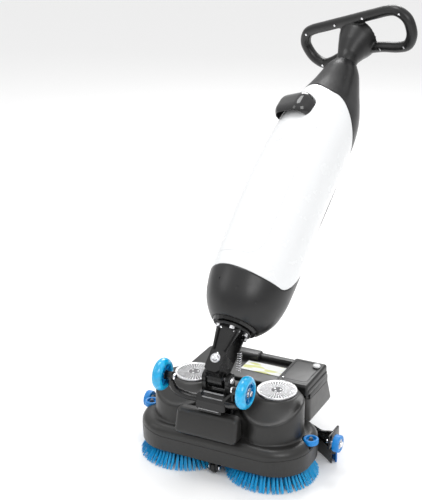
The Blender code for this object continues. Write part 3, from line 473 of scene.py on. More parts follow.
def add_dome(work, side, low):
    """A round tower whose top slopes down to the front, up to the seat of the motor."""
    stations = [(0.0, DOME_R, low, 0.0), (0.0, DOME_R, 0.112, 0.0), (0.10, DOME_R, 0.1520, 1.0),
                (0.14, DOME_R - 0.0015, 0.1545, 0.98), (0.22, DOME_R - 0.0040, 0.1565, 0.95),
                (0.97, 0.0550, 0.1895, 0.0), (1.0, 0.0520, 0.1915, 0.0)]
    rings = []
    for shift, radius, z, rise in stations:
        cx = side * (DOME_X + (MOTOR_X - DOME_X) * shift)
        cy = DOME_Y + (MOTOR_Y - 0.003 - DOME_Y) * shift
        ring = []
        for k in range(96):
            angle = 2.0 * pi * k / 96
            climb = 0.0340 * rise * min(1.0, (sin(angle) + 1.0) / 0.95)
            ring.append((cx + radius * cos(angle), cy + radius * sin(angle), z + climb))
        rings.append(ring)
    join_loft(work, rings)


def deck():
    work = bmesh.new()
    shoulder = [skirt_ring(0.0, SKIRT_Z0), skirt_ring(-0.0008, SKIRT_Z0 + 0.018)]
    for k in range(7):
        angle = radians(90.0 * k / 6)
        shoulder.append(skirt_ring(-0.0012 + SHOULDER_R * (1.0 - cos(angle)),
                                   LEDGE_Z - SHOULDER_R * (1.0 - sin(angle))))
    add_loft(work, shoulder)
    face_out(work)
    for _, side in SIDES:
        add_dome(work, side, LEDGE_Z - 0.004)
    add_box(work, (0.200, 0.155, 0.080), at(0.0, 0.0155, 0.1150, HERE), 0.010, 3)
    shell = fuse(object_of("deck_skin", work, False), 0.0024, 4)
    hollow = bmesh.new()
    add_loft(hollow, [skirt_ring(WALL, SKIRT_Z0 - 0.01), skirt_ring(WALL, LEDGE_Z - 0.020),
                      skirt_ring(WALL + 0.006, LEDGE_Z - 0.0075), skirt_ring(WALL + 0.013, LEDGE_Z - WALL)])
    tools = [object_of("hollow", hollow)]
    for _, side in SIDES:
        for radius, deep, place in (
                (CAP_R + 0.0012, 0.03, (side * MOTOR_X, MOTOR_Y, DOME_TOP_Z - 0.0035)),
                (GUIDE_R + 0.003, 0.036, (side * GUIDE_X, GUIDE_Y, GUIDE_Z - 0.0075))):
            cutter = bmesh.new()
            add_lathe(cutter, sleeve(0.0, radius, 0.0, deep), 48, Matrix.Translation(place))
            tools.append(object_of("cutter", cutter))
    groove = bmesh.new()
    line = [(x, y, 0.0775 + 0.0075 * ease(0.110, 0.190, abs(x)))
            for x, y, _ in skirt_ring(-0.0014, 0.0)]
    line = [p for k, p in enumerate(line) if (Vector(p) - Vector(line[k - 1])).length > 1e-5]
    add_tube(groove, line, 0.0013, 6, True)
    tools.append(object_of("groove", groove))
    cut(shell, tools)
    settle(shell, MACHINE, CHARCOAL, "deck", ("deck_shell",), 50.0)

    work = bmesh.new()
    bmesh.ops.create_cube(work, size=1.0, matrix=Matrix.Diagonal((0.1640, 0.0470, 0.0620, 1.0)))
    for vert in work.verts:
        if vert.co.z > 0.0:
            vert.co.y += 0.0150 if vert.co.y < 0.0 else 0.0
            vert.co.x *= 0.96
    round_edges(work, 0.0125, 8)
    settle(object_of("bumper_block", work), at(-0.0095, -0.0915, LEDGE_Z + 0.0325), CHARCOAL, "deck",
           ("front_bumper",), 60.0)


# ---------------------------------------------------------------- motor caps
CAP_RIBS, RIB_SHARE = 36, 0.42


def motor_caps():
    for word, side in SIDES:
        top = CAP_TOP_Z
        place = at(side * MOTOR_X, MOTOR_Y, 0.0)
        lathe_piece("motor_rim_" + word,
                    [(CAP_R - 0.0060, DOME_TOP_Z - 0.002), (CAP_R - 0.0008, DOME_TOP_Z - 0.002),
                     (CAP_R, top - 0.0035), (CAP_R - 0.0004, top - 0.0010), (CAP_R - 0.0014, top),
                     (CAP_R - 0.0026, top), (CAP_R - 0.0034, top - 0.0012), (CAP_R - 0.0060, top - 0.0016)],
                    96, place, ALUMINIUM, "deck")
        work = bmesh.new()
        add_lathe(work, [(0.0, top - 0.0055), (CAP_R - 0.0035, top - 0.0055), (CAP_R - 0.0035, top - 0.0030),
                         (0.0150, top - 0.0030), (0.0142, top - 0.0012), (0.0128, top - 0.0008),
                         (0.0120, top - 0.0016), (0.0, top - 0.0016)], 72)
        settle(object_of("motor_face_" + word, work, False), place, GREY, "deck")
        work = bmesh.new()
        add_lathe(work, sleeve(0.0138, 0.0156, top - 0.0030, top - 0.0012), 48)
        inner, outer = 0.0150, CAP_R - 0.0034
        for k in range(CAP_RIBS):
            turn = Matrix.Rotation(2.0 * pi * k / CAP_RIBS, 4, "Z")
            rings = []
            for r, z in ((inner, top - 0.0026), (inner + 0.002, top - 0.0013), (outer - 0.001, top - 0.0011),
                         (outer, top - 0.0026)):
                half = RIB_SHARE * pi / CAP_RIBS * r
                rings.append([(r, -half, top - 0.0034), (r, half, top - 0.0034), (r, half * 0.8, z),
                              (r, -half * 0.8, z)])
            join_loft(work, rings, place=turn)
        for spot in around(0.0085, 3, top - 0.0017, 30.0):
            add_lathe(work, [(0.0, 0.0), (0.0028, 0.0), (0.0024, 0.0010), (0.0, 0.0012)], 16, spot)
        settle(object_of("motor_fan_" + word, work, False), place, ALUMINIUM, "deck",
               ("motor_cap_" + word,), 30.0)


# ---------------------------------------------------------------- brushes
BRUSH_X, BRUSH_R, BRISTLE_H = 0.1150, 0.1142, 0.0450
TUFT_R, STRANDS, STRAND_R = 0.0021, 11, 0.00062


def brushes():
    """Tufts of fine strands, set in rings; the outer rings flare outwards."""
    rings = ((0.0395, 28, 0.0), (0.0500, 36, 0.10), (0.0605, 44, 0.25), (0.0710, 50, 0.50),
             (0.0800, 56, 0.80), (0.0870, 62, 1.0))
    for word, side in SIDES:
        work = bmesh.new()
        flare = BRUSH_R - 0.0040 - 0.0870
        for radius, count, lean in rings:
            for k in range(count):
                angle = 2.0 * pi * (k + RAND.uniform(-0.10, 0.10)) / count
                out = Vector((cos(angle), sin(angle), 0.0))
                side_way = Vector((-sin(angle), cos(angle), 0.0))
                swing = RAND.uniform(-0.0018, 0.0018)
                for _ in range(STRANDS):
                    theta = RAND.uniform(0.0, 2.0 * pi)
                    spread = sqrt(RAND.uniform(0.02, 1.0))
                    base = (out * (radius + TUFT_R * spread * cos(theta))
                            + side_way * (TUFT_R * spread * sin(theta)))
                    tip = (out * (radius + flare * lean + 0.0036 * spread * cos(theta))
                           + side_way * (0.0040 * spread * sin(theta) + swing))
                    end = RAND.uniform(0.0002, 0.0016)
                    rows = []
                    for share in (0.0, 0.45, 1.0):
                        bow = share ** 1.5
                        centre = base + (tip - base) * bow
                        z = BRISTLE_H + 0.0005 + (end - BRISTLE_H) * share
                        rows.append([centre + Vector((STRAND_R * cos(a), STRAND_R * sin(a), 0.0)) + Vector((0, 0, z))
                                     for a in (0.3, 2.4, 4.5)])
                    add_loft(work, rows)
        place = at(side * BRUSH_X, 0.0, 0.0)
        settle(object_of("bristle_tufts_" + word, work), place, BRISTLE, "brush_" + word,
               ("bristles_" + word,), 60.0)
        work = bmesh.new()
        low = BRISTLE_H + 0.0004
        add_lathe(work, [(0.0275, low - 0.010), (0.0320, low - 0.010), (0.0325, low), (0.0895, low),
                         (0.0920, low + 0.003), (0.0925, low + 0.007), (0.0900, low + 0.0098),
                         (0.0400, low + 0.0098), (0.0275, low + 0.0060)], 72)
        for radius, count, _ in rings:
            for spot in around(radius, count, low):
                add_lathe(work, [(0.0, -0.0008), (0.0030, -0.0008), (0.0032, 0.0004), (0.0, 0.0004)], 8, spot)
        settle(object_of("brush_board_" + word, work, False), place, BLUE_RUBBER, "brush_" + word,
               ("brush_block_" + word,))


# ---------------------------------------------------------------- wheels
WHEEL_X, WHEEL_Y, WHEEL_Z, ARM_X = 0.1060, -0.1280, 0.2640, 0.0865


def wheels():
    for word, side in SIDES:
        place = at(side * WHEEL_X, WHEEL_Y, WHEEL_Z, MACHINE, facing(side))
        half, big, small = 0.0120, 0.0384, 0.0245
        crown = [(big - 0.0108 * (1.0 - cos(radians(a))), half * sin(radians(a))) for a in range(-90, 91, 12)]
        lathe_piece("tyre_" + word, [(small + 0.0006, -half + 0.0012), (small + 0.0016, -half), *crown,
                                     (small + 0.0016, half), (small + 0.0006, half - 0.0012)],
                    80, place, TYRE, "wheel_" + word, ("wheel_tyre_" + word,))
        work = bmesh.new()
        add_lathe(work, sleeve(small - 0.0022, small + 0.0004, -0.0095, 0.0095), 64)
        add_lathe(work, sleeve(0.0112, 0.0136, -0.0085, 0.0085), 48)
        add_lathe(work, sleeve(0.0130, small - 0.001, -0.0012, 0.0012), 48)
        for k in range(7):
            turn = Matrix.Rotation(2.0 * pi * k / 7, 4, "Z")
            add_box(work, (0.0108, 0.0034, 0.0158), turn @ Matrix.Translation((0.0180, 0.0, 0.0)), 0.0008, 2)
        settle(object_of("wheel_core_" + word, work, False), place, CORE, "wheel_" + word,
               ("wheel_hub_" + word,))
        work = bmesh.new()
        for sign in (-1.0, 1.0):
            flip = UPSIDE_DOWN if sign < 0 else HERE
            add_lathe(work, sleeve(0.0090, 0.0110, 0.0030, 0.0080), 40, flip)
            add_lathe(work, sleeve(0.0042, 0.0060, 0.0030, 0.0084), 32, flip)
            for spot in around(0.0075, 9, 0.0060):
                made = bmesh.new()
                bmesh.ops.create_uvsphere(made, u_segments=8, v_segments=6, radius=0.0014)
                join(work, made, flip @ spot)
        settle(object_of("wheel_bearings_" + word, work, False), place, CHROME, "wheel_" + word)
        work = bmesh.new()
        add_lathe(work, [(0.0, -0.0160), (0.0055, -0.0160), (0.0074, -0.0148), (0.0078, -0.0120),
                         (0.0070, -0.0105), (0.0040, -0.0105), (0.0040, 0.0300), (0.0, 0.0300)], 32)
        made = bmesh.new()
        rings = []
        for h, r in ((0.0296, 0.0060), (0.0302, 0.0068), (0.0338, 0.0068), (0.0346, 0.0060)):
            rings.append([(r * cos(pi * k / 3), r * sin(pi * k / 3), h) for k in range(6)])
        add_loft(made, rings)
        join(work, made)
        add_lathe(work, sleeve(0.0, 0.0036, 0.0340, 0.0350), 20)
        arm_place = at(side * ARM_X, WHEEL_Y, WHEEL_Z, MACHINE, facing(side))
        settle(object_of("wheel_bolt_" + word, work, False), arm_place, CHROME, "deck", ("axle_" + word,), 30.0)
        route = [(side * 0.0400, -0.0880, 0.2000), (side * 0.0600, -0.0960, 0.2050),
                 (side * 0.0800, -0.1080, 0.2180), (side * 0.0860, -0.1210, 0.2420),
                 (side * ARM_X, WHEEL_Y, WHEEL_Z + 0.0020)]
        points = spline_through(route, 10)
        work = bmesh.new()
        taper = [1.12 - 0.22 * k / (len(points) - 1) for k in range(len(points))]
        add_tube(work, points, 0.0088, 20, False, taper)
        add_lathe(work, [(0.0041, -0.0100), (0.0100, -0.0100), (0.0108, -0.0090), (0.0108, 0.0068),
                         (0.0100, 0.0078), (0.0041, 0.0078)], 36,
                  at(side * ARM_X, WHEEL_Y, WHEEL_Z, HERE, ALONG_X))
        settle(object_of("wheel_bracket_" + word, work, False), MACHINE, BLACK, "deck", ("wheel_arm_" + word,))


# ---------------------------------------------------------------- small rollers
CASTER_Y, CASTER_Z = -0.0740, 0.0165


def ring_roller(name, radius, height, place, body, instead):
    lathe_piece(name, [(0.0045, 0.0), (radius - 0.0022, 0.0), (radius - 0.0006, 0.0006), (radius, 0.0022),
                       (radius, height - 0.0022), (radius - 0.0006, height - 0.0006),
                       (radius - 0.0022, height), (radius - 0.0048, height), (radius - 0.0062, height - 0.0010),
                       (radius - 0.0066, height - 0.0060), (0.0045, height - 0.0062)],
                56, place, BLUE_RUBBER, body, instead)


def small_rollers():
    for word, side in SIDES:
        ring_roller("guide_ring_" + word, GUIDE_R, GUIDE_H, at(side * GUIDE_X, GUIDE_Y, GUIDE_Z),
                    "guide_" + word, ("guide_roller_" + word,))
        lathe_piece("guide_screw_" + word, [(0.0, 0.0), (0.0060, 0.0), (0.0064, 0.0008), (0.0050, 0.0026),
                                            (0.0016, 0.0032), (0.0, 0.0022)], 24,
                    at(side * GUIDE_X, GUIDE_Y, GUIDE_Z + 0.0072), DARK, "deck")
    lathe_piece("caster_tread", [(0.0027, -0.0055), (0.0120, -0.0055), (0.0136, -0.0042), (0.0140, -0.0020),
                     (0.0140, 0.0020), (0.0136, 0.0042), (0.0120, 0.0055), (0.0027, 0.0055)], 40,
                at(0.0, CASTER_Y, CASTER_Z, MACHINE, ALONG_X), SOFT_BLACK, "caster", ("caster_wheel",))
    for sign in (-1.0, 1.0):
        lathe_piece("caster_bolt_" + ("left" if sign < 0 else "right"),
                    [(0.0, 0.0), (0.0060, 0.0), (0.0064, 0.0010), (0.0056, 0.0034), (0.0, 0.0040)], 24,
                    at(sign * 0.0110, CASTER_Y, CASTER_Z, MACHINE, facing(sign)),
                    CHROME, "deck")


# ---------------------------------------------------------------- squeegee
SQ_X, SQ_END_Y, SQ_MID_Y = 0.2370, 0.0930, 0.1900
SQ_ARC = (SQ_X ** 2 + (SQ_MID_Y - SQ_END_Y) ** 2) / (2.0 * (SQ_MID_Y - SQ_END_Y))


def arc_section(angle, inner, outer, low, high, round_by=0.0):
    near, far, centre = SQ_ARC + inner, SQ_ARC + outer, SQ_MID_Y - SQ_ARC
    section = [(near + round_by, low), (far - round_by, low), (far, low + round_by), (far, high - round_by),
               (far - round_by, high), (near + round_by, high), (near, high - round_by), (near, low + round_by)]
    return [(r * sin(angle), centre + r * cos(angle), z) for r, z in section]


def squeegee():
    reach = asin(SQ_X / SQ_ARC)
    for name, inner, outer, finish, node in (("blade_front", -0.0085, -0.0049, BLACK, "squeegee_blade_front"),
                                             ("blade_rear", 0.0049, 0.0085, BLADE, "squeegee_blade_rear")):
        work = bmesh.new()
        add_loft(work, [arc_section(reach * (2.0 * k / 64 - 1.0), inner, outer, 0.0, 0.0380, 0.0006)
                        for k in range(65)])
        settle(object_of(name, work), MACHINE, finish, "squeegee", (node,), 30.0)
    work = bmesh.new()
    rings = []
    for k in range(65):
        angle = reach * (2.0 * k / 64 - 1.0)
        top = 0.0540 + 0.0250 * ease(0.70, 0.98, abs(angle) / reach)
        rings.append(arc_section(angle, -0.0045, 0.0045, 0.0240, top, 0.0012))
    add_loft(work, rings)
    face_out(work)
    add_box(work, (0.0260, 0.0930, 0.0140), at(0.0, 0.1435, 0.0300, HERE), 0.0020, 2)
    for side in (-1.0, 1.0):
        add_box(work, (0.0060, 0.0620, 0.0340), at(side * (SQ_X - 0.0010), 0.0880, 0.0725, HERE),
                0.0020, 2)
        add_box(work, (0.0050, 0.0400, 0.0100), at(side * 0.0095, 0.0900, 0.0290, HERE), 0.0010, 2)
    settle(object_of("squeegee_frame", work, False), MACHINE, BLACK, "squeegee", ("squeegee_holder",), 30.0)
    work = bmesh.new()
    for k in range(7):
        angle = reach * (-0.84 + 0.28 * k)
        radius, centre = SQ_ARC + 0.0088, SQ_MID_Y - SQ_ARC
        outward = Matrix.Rotation(-angle, 4, "Z") @ ALONG_Y
        place = Matrix.Translation((radius * sin(angle), centre + radius * cos(angle), 0.0320)) @ outward
        add_lathe(work, [(0.0, -0.0010), (0.0048, -0.0010), (0.0050, 0.0006), (0.0044, 0.0020), (0.0, 0.0024)],
                  16, place)
    settle(object_of("blade_screws", work, False), MACHINE, STEEL, "squeegee")
    for word, side in SIDES:
        spot = at(side * 0.2560, 0.0650, 0.0725, MACHINE, facing(side))
        lathe_piece("end_roller_" + word,
                    [(0.0120, -0.0070), (0.0130, -0.0080), (0.0190, -0.0080), (0.0204, -0.0072), (0.0210, -0.0056),
                     (0.0210, 0.0056), (0.0204, 0.0072), (0.0190, 0.0080), (0.0130, 0.0080), (0.0120, 0.0070)],
                    64, spot, BLUE_RUBBER, "squeegee_wheel_" + word, ("squeegee_roller_" + word,))
        lathe_piece("end_roller_core_" + word,
                    [(0.0046, -0.0066), (0.0122, -0.0066), (0.0122, 0.0066), (0.0090, 0.0066),
                     (0.0084, 0.0050), (0.0046, 0.0050)], 40, spot, RIM_WHITE, "squeegee_wheel_" + word)
        lathe_piece("end_roller_bolt_" + word,
                    [(0.0, -0.0270), (0.0042, -0.0270), (0.0042, 0.0086), (0.0072, 0.0086), (0.0076, 0.0094),
                     (0.0066, 0.0114), (0.0030, 0.0120), (0.0, 0.0108)], 32, spot, CHROME, "squeegee",
                    ("roller_bolt_" + word,))


# ---------------------------------------------------------------- recovery tank
TANK_X, TANK_Y0, TANK_Y1 = 0.1640, 0.1080, 0.2300
TANK_Z0, TANK_Z1, TANK_TOP = 0.0760, 0.1600, 0.1890


def tank():
    work = bmesh.new()
    rings = []
    for z, grow, rear in ((TANK_Z0, -0.0085, 0.0240), (TANK_Z0 + 0.0015, -0.0060, 0.0262),
                          (TANK_Z0 + 0.0060, -0.0022, 0.0290), (TANK_Z0 + 0.0120, 0.0, 0.0300),
                          (TANK_Z1 - 0.0160, 0.0, 0.0060), (TANK_Z1 - 0.0156, -0.0036, 0.0050),
                          (TANK_Z1, -0.0036, 0.0)):
        rings.append(outline_at(z, TANK_X + grow, TANK_Y0 - min(grow, 0.0), TANK_Y1 + rear, 0.014, 8))
    add_loft(work, rings)
    body = object_of("tank_tub", work)
    well = bmesh.new()
    add_loft(well, [outline_at(z, TANK_X - inset, TANK_Y0 + 0.003, rear, 0.010, 8)
                    for z, inset, rear in ((TANK_Z0 + 0.004, 0.010, TANK_Y1 + 0.022),
                                           (TANK_Z1 + 0.002, 0.007, TANK_Y1 - 0.004))])
    settle(cut(body, [object_of("well", well)]), MACHINE, TANK_GREY, "tank", ("recovery_tank",), 30.0)

    z0 = TANK_Z1 + 0.0004
    work = bmesh.new()
    rings = []
    for z, inset in ((z0, 0.0008), (z0 + 0.0010, 0.0), (z0 + 0.0100, 0.0), (z0 + 0.0115, 0.0010),
                     (z0 + 0.0120, 0.0028)):
        rings.append(outline_at(z, TANK_X - inset, 0.0960 + inset, TANK_Y1 - inset, 0.012, 8))
    add_loft(work, rings)
    face_out(work)
    for x0, x1, y0, y1, top, bevel in ((0.0760, 0.1620, 0.0965, 0.2280, TANK_TOP, 0.0070),
                                       (-0.1000, -0.0120, 0.1950, 0.2290, TANK_TOP, 0.0070),
                                       (-0.1000, 0.1000, 0.2080, 0.2285, TANK_TOP - 0.006, 0.0050)):
        made = bmesh.new()
        add_box(made, (x1 - x0, y1 - y0, top - z0 - 0.002),
                at((x0 + x1) / 2.0, (y0 + y1) / 2.0, (z0 + 0.002 + top) / 2.0, HERE), bevel, 5)
        for vert in made.verts:
            if vert.co.z > top - 0.010 and vert.co.y < y0 + 0.010 and y0 < 0.12:
                vert.co.z -= 0.0030
        join(work, made)
    for side in (-1.0, 1.0):
        add_box(work, (0.0032, 0.1120, 0.0164), at(side * (TANK_X - 0.0016), 0.1700, TANK_Z1 - 0.0066, HERE),
                0.0010, 2)
        add_box(work, (0.0300, 0.0040, 0.0100), at(side * 0.060, TANK_Y1 + 0.0010, z0 + 0.0040, HERE), 0.0010, 2)
    settle(object_of("tank_cover", work, False), MACHINE, LID_BLACK, "lid", ("tank_lid",), 40.0)
    work = bmesh.new()
    add_tube(work, [(x, y, TANK_TOP - 0.00015) for x, y in
                    [(0.119 + px, 0.162 + py) for px, py in rounded_outline(0.0330, -0.0500, 0.0520, 0.0100, 6)]],
             0.0005, 6, True)
    settle(object_of("cover_groove", work, False), MACHINE, DARK, "lid")
    lathe_piece("drain_plug", [(0.0, 0.0), (0.0088, 0.0), (0.0094, 0.0010), (0.0094, 0.0034), (0.0082, 0.0052),
                               (0.0050, 0.0060), (0.0, 0.0062)], 40, at(0.1440, 0.2000, TANK_TOP + 0.0004),
                RIM_WHITE, "drain_cap", ("filler_cap",))
    paint(LABEL, "label_plate")
    lathe_piece("cover_screw", [(0.0, 0.0), (0.0022, 0.0), (0.0022, 0.0008), (0.0, 0.0011)], 16,
                at(0.0900, 0.1180, TANK_TOP - 0.0016), STEEL, "lid")


# ---------------------------------------------------------------- pivot bracket, yoke
TILT_Y, TILT_Z, COIL_R, WIRE_R = -0.0530, 0.2420, 0.0052, 0.00095


def pivot():
    paint(BLACK, "pivot_bracket", "cross_block", "yoke_frame")
    paint(STEEL, "tilt_pin")
    # The ribs on the bracket's nose are light grey: a painted highlight along their edges.
    work = bmesh.new()
    for x, y, z, wide in ((0.004, -0.0850, 0.2190, 0.050), (0.003, -0.0900, 0.2080, 0.052),
                          (-0.002, -0.0950, 0.1970, 0.050), (-0.003, -0.0980, 0.1800, 0.052)):
        add_box(work, (wide, 0.0050, 0.0020), at(x, y, z, HERE), 0.0006, 2)
    settle(object_of("bracket_ribs", work, False), MACHINE, EDGE, "deck")
    work = bmesh.new()
    made = bmesh.new()
    nose = [(-0.0600, 0.2180), (-0.0830, 0.2180), (-0.0980, 0.1960), (-0.0980, 0.1720), (-0.0600, 0.1720)]
    add_loft(made, [[(x, y, z) for y, z in nose] for x in (-0.0290, 0.0290)])
    face_out(made)
    round_edges(made, 0.0018, 2)
    join(work, made)
    settle(object_of("bracket_nose", work, False), MACHINE, BLACK, "deck")
    lathe_piece("pivot_barrel", [(0.0061, -0.0170), (0.0190, -0.0170), (0.0200, -0.0160), (0.0200, 0.0160),
                                 (0.0190, 0.0170), (0.0061, 0.0170)], 48,
                at(0.0, TILT_Y, TILT_Z, MACHINE, ALONG_X), BLACK, "cross")
    for word, side in SIDES:
        lathe_piece("tilt_nut_" + word, [(0.0, 0.0), (0.0092, 0.0), (0.0096, 0.0010), (0.0084, 0.0036),
                                         (0.0050, 0.0044), (0.0, 0.0046)], 30,
                    at(side * 0.0352, TILT_Y, TILT_Z, MACHINE, facing(side)),
                    CHROME, "deck")
    lathe_piece("lean_bolt", [(0.0, -0.0602), (0.0040, -0.0598), (0.0068, -0.0584), (0.0082, -0.0560), (0.0084, -0.0536),
                     (0.0070, -0.0534), (0.0070, 0.0250), (0.0, 0.0250)], 48,
                LEAN @ ALONG_Y, CHROME, "yoke", ("lean_pin",), 30.0)
    lathe_piece("lean_washer", [(0.0072, -0.0536), (0.0118, -0.0536), (0.0122, -0.0528), (0.0118, -0.0520),
                                (0.0072, -0.0520)], 48, LEAN @ ALONG_Y, STEEL, "yoke")
    work = bmesh.new()
    for x, z in ((-0.0180, 0.0760), (0.0190, 0.0740), (0.0, 0.0120)):
        add_lathe(work, [(0.0, 0.0), (0.0030, 0.0), (0.0030, 0.0012), (0.0018, 0.0020), (0.0, 0.0022)], 20,
                  at(x, -0.0514, z, HERE, Matrix.Rotation(pi / 2.0, 4, "X")))
    settle(object_of("link_screws", work, False), LEAN, CHROME, "yoke")
    work = bmesh.new()
    for degrees in (-136.0, -72.0, -10.0, 52.0, 115.0, 170.0):
        angle = radians(degrees)
        add_lathe(work, [(0.0, 0.0), (0.0066, 0.0), (0.0066, 0.0060), (0.0054, 0.0072), (0.0, 0.0074)], 6,
                  at(0.0370 * cos(angle), -0.0220 + 0.0370 * sin(angle), 0.0830, HERE,
                     UPSIDE_DOWN))
    settle(object_of("flange_bolts", work, False), LEAN, CHROME, "yoke", (), 20.0)
    for word, side in SIDES:
        foot, head = Vector((side * 0.0290, -0.0060, 0.2440)), Vector((side * 0.0290, 0.0020, 0.2900))
        along = (head - foot).normalized()
        across = along.cross(X_AXIS).normalized()
        turns, steps = 8, 16
        points = []
        for k in range(turns * steps + 1):
            share = k / (turns * steps)
            angle = 2.0 * pi * k / steps
            points.append(foot + (head - foot) * share
                          + (X_AXIS * cos(angle) + across * sin(angle)) * COIL_R)
        work = bmesh.new()
        add_tube(work, points, WIRE_R, 7)
        coil = object_of("spring_coil_" + word, work)
        coil.data.transform(MACHINE)
        coil.data.materials.append(CHROME)
        coil.data.shade_smooth()
        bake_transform(coil)
        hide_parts("return_spring_" + word)


# ---------------------------------------------------------------- body
BODY_LEN, BODY_WALL, SPINE_HALF = 0.7700, 0.0030, 27.0
PROFILE = [(0.000, 0.0530, 0.0000), (0.018, 0.0700, 0.0000), (0.045, 0.0870, -0.0005),
           (0.085, 0.0985, -0.0020), (0.130, 0.1030, -0.0040), (0.320, 0.1040, -0.0070),
           (0.500, 0.1010, 0.0010), (0.575, 0.0960, 0.0070), (0.620, 0.0880, 0.0090),
           (0.655, 0.0765, 0.0110), (0.690, 0.0635, 0.0110), (0.720, 0.0535, 0.0100),
           (0.747, 0.0440, 0.0090), (0.770, 0.0310, 0.0080)]


def slopes(values):
    found = [0.0]
    for k in range(1, len(PROFILE) - 1):
        before = (values[k] - values[k - 1]) / (PROFILE[k][0] - PROFILE[k - 1][0])
        after = (values[k + 1] - values[k]) / (PROFILE[k + 1][0] - PROFILE[k][0])
        found.append(0.0 if before * after < 0.0 else (before + after) / 2.0)
    last = (values[-1] - values[-2]) / (PROFILE[-1][0] - PROFILE[-2][0])
    first = (values[1] - values[0]) / (PROFILE[1][0] - PROFILE[0][0])
    found[0] = first
    return found + [last]


COLUMNS = [[row[1] for row in PROFILE], [row[2] for row in PROFILE]]
SLOPES = [slopes(column) for column in COLUMNS]


def body_at(z):
    """Radius and set-back of the body at a height: a smooth curve through the profile."""
    z = min(max(z, 0.0), BODY_LEN)
    k = max(i for i, row in enumerate(PROFILE[:-1]) if row[0] <= z)
    z0, z1 = PROFILE[k][0], PROFILE[k + 1][0]
    h, t = z1 - z0, (z - z0) / (z1 - z0)
    out = []
    for column, slope in zip(COLUMNS, SLOPES):
        out.append((2 * t ** 3 - 3 * t ** 2 + 1) * column[k] + (t ** 3 - 2 * t ** 2 + t) * h * slope[k]
                   + (3 * t ** 2 - 2 * t ** 3) * column[k + 1] + (t ** 3 - t ** 2) * h * slope[k + 1])
    return out


def body_point(turn, z, inset=0.0):
    radius, back = body_at(z)
    return Vector(((radius - inset) * sin(radians(turn)), back - (radius - inset) * cos(radians(turn)), z))


def low_seam(turn):
    return 0.1160 - 0.0080 * ease(0.0, 70.0, turn) + 0.1200 * ease(95.0, 165.0, turn)


def high_seam(turn):
    return 0.6560 - 0.0200 * ease(0.0, 60.0, turn) - 0.1100 * ease(55.0, 150.0, turn)


def wall_piece(name, turns, low, high, levels, loop):
    """A thin shell between two seams, its rims slightly rounded."""
    sections = []
    for turn in turns:
        base, top = low(abs(turn)), high(abs(turn))
        heights = [base + (top - base) * k / levels for k in range(levels + 1)]
        outer = [body_point(turn, base, 0.0006)]
        outer += [body_point(turn, z) for z in [base + 0.0008] + heights[1:-1] + [top - 0.0008]]
        outer += [body_point(turn, top, 0.0006)]
        sections.append(outer + [body_point(turn, z, BODY_WALL) for z in reversed(heights)])
    work = bmesh.new()
    add_loft(work, sections, loop)
    return object_of(name, work)


def body_slots(size, places):
    """Cutters for short slots in the body's skin, each at a turn in degrees and a height."""
    slots = []
    for turn, z in places:
        out = (body_point(turn, z) - body_point(turn, z, 0.02)).normalized()
        work = bmesh.new()
        add_box(work, size, Matrix.Translation(body_point(turn, z))
                @ out.to_track_quat("Y", "Z").to_matrix().to_4x4(), 0.0006, 2)
        slots.append(object_of("slot", work))
    return slots


def body():
    sides = 144
    full = [360.0 * k / sides - 180.0 for k in range(sides)]
    edge = 180.0 - SPINE_HALF
    count = int(2 * edge / 2.5)
    open_turn = [-edge + 2 * edge * k / count for k in range(count + 1)]
    cap = wall_piece("lower_cap", full, lambda t: 0.0070, lambda t: low_seam(t) - 0.0007, 22, True)
    slots = body_slots((0.0036, 0.0020, 0.0150), ((69.0, 0.050), (36.0, 0.066), (4.0, 0.078),
                                                  (-30.0, 0.066), (-69.0, 0.050)))
    settle(cut(cap, slots), FOOT, CAP_BLACK, "handle", ("foot_cap",), 50.0)
    tank_wall = wall_piece("water_shell", open_turn, low_seam, high_seam, 72, False)
    line = panel_line()
    work = bmesh.new()
    add_tube(work, line, 0.0011, 8)
    settle(cut(tank_wall, [object_of("panel_cut", work)]), FOOT, WHITE, "water_tank", ("clean_tank",), 50.0)
    cap = wall_piece("upper_cap", full, lambda t: high_seam(t) + 0.0007, lambda t: BODY_LEN, 30, True)
    slots = body_slots((0.0040, 0.0030, 0.0190), ((60.0, 0.70), (-60.0, 0.70)))
    settle(cut(cap, slots), FOOT, CAP_BLACK, "handle", ("top_cap",), 50.0)
    half = SPINE_HALF - 1.0
    turns = [180.0 + half * k / 12 for k in range(-12, 13)]
    low, high = low_seam(180.0) + 0.0004, high_seam(180.0) - 0.0004
    spine = []
    for k in range(33):
        z = low + (high - low) * k / 32
        proud = 0.0100 * sin(pi * (0.15 + 0.70 * k / 32))
        outer = [body_point(t, z, -proud * (1.0 - (abs(t - 180.0) / half) ** 6)) for t in turns]
        spine.append(outer + [body_point(t, z, 0.0060) for t in reversed(turns)])
    work = bmesh.new()
    add_loft(work, spine)
    settle(object_of("back_spine", work), FOOT, CAP_BLACK, "handle", ("rear_spine",), 40.0)
    paint(BLACK, "foot_plate")
    paint(GREY, "battery_pack", "chassis_plate", "gearbox_left", "gearbox_right")
    paint(STEEL, "mast_tube", "squeegee_pin", "drive_hub_left", "drive_hub_right")
    paint(GREY, "water_pump", "brush_motor_left", "brush_motor_right")
    paint(BLACK, "caster_fork", "squeegee_mount")
    boss = body_point(6.0, 0.470)
    facing_out = Vector((0.10, -0.99, 0.03)).to_track_quat("Z", "Y").to_matrix().to_4x4()
    lathe_piece("tank_boss", [(0.0, -0.004), (0.0110, -0.004), (0.0110, 0.0010), (0.0098, 0.0022), (0.0082, 0.0024),
                              (0.0076, 0.0016), (0.0, 0.0016)], 48,
                FOOT @ Matrix.Translation(boss) @ facing_out, WHITE, "water_tank")
    latch()


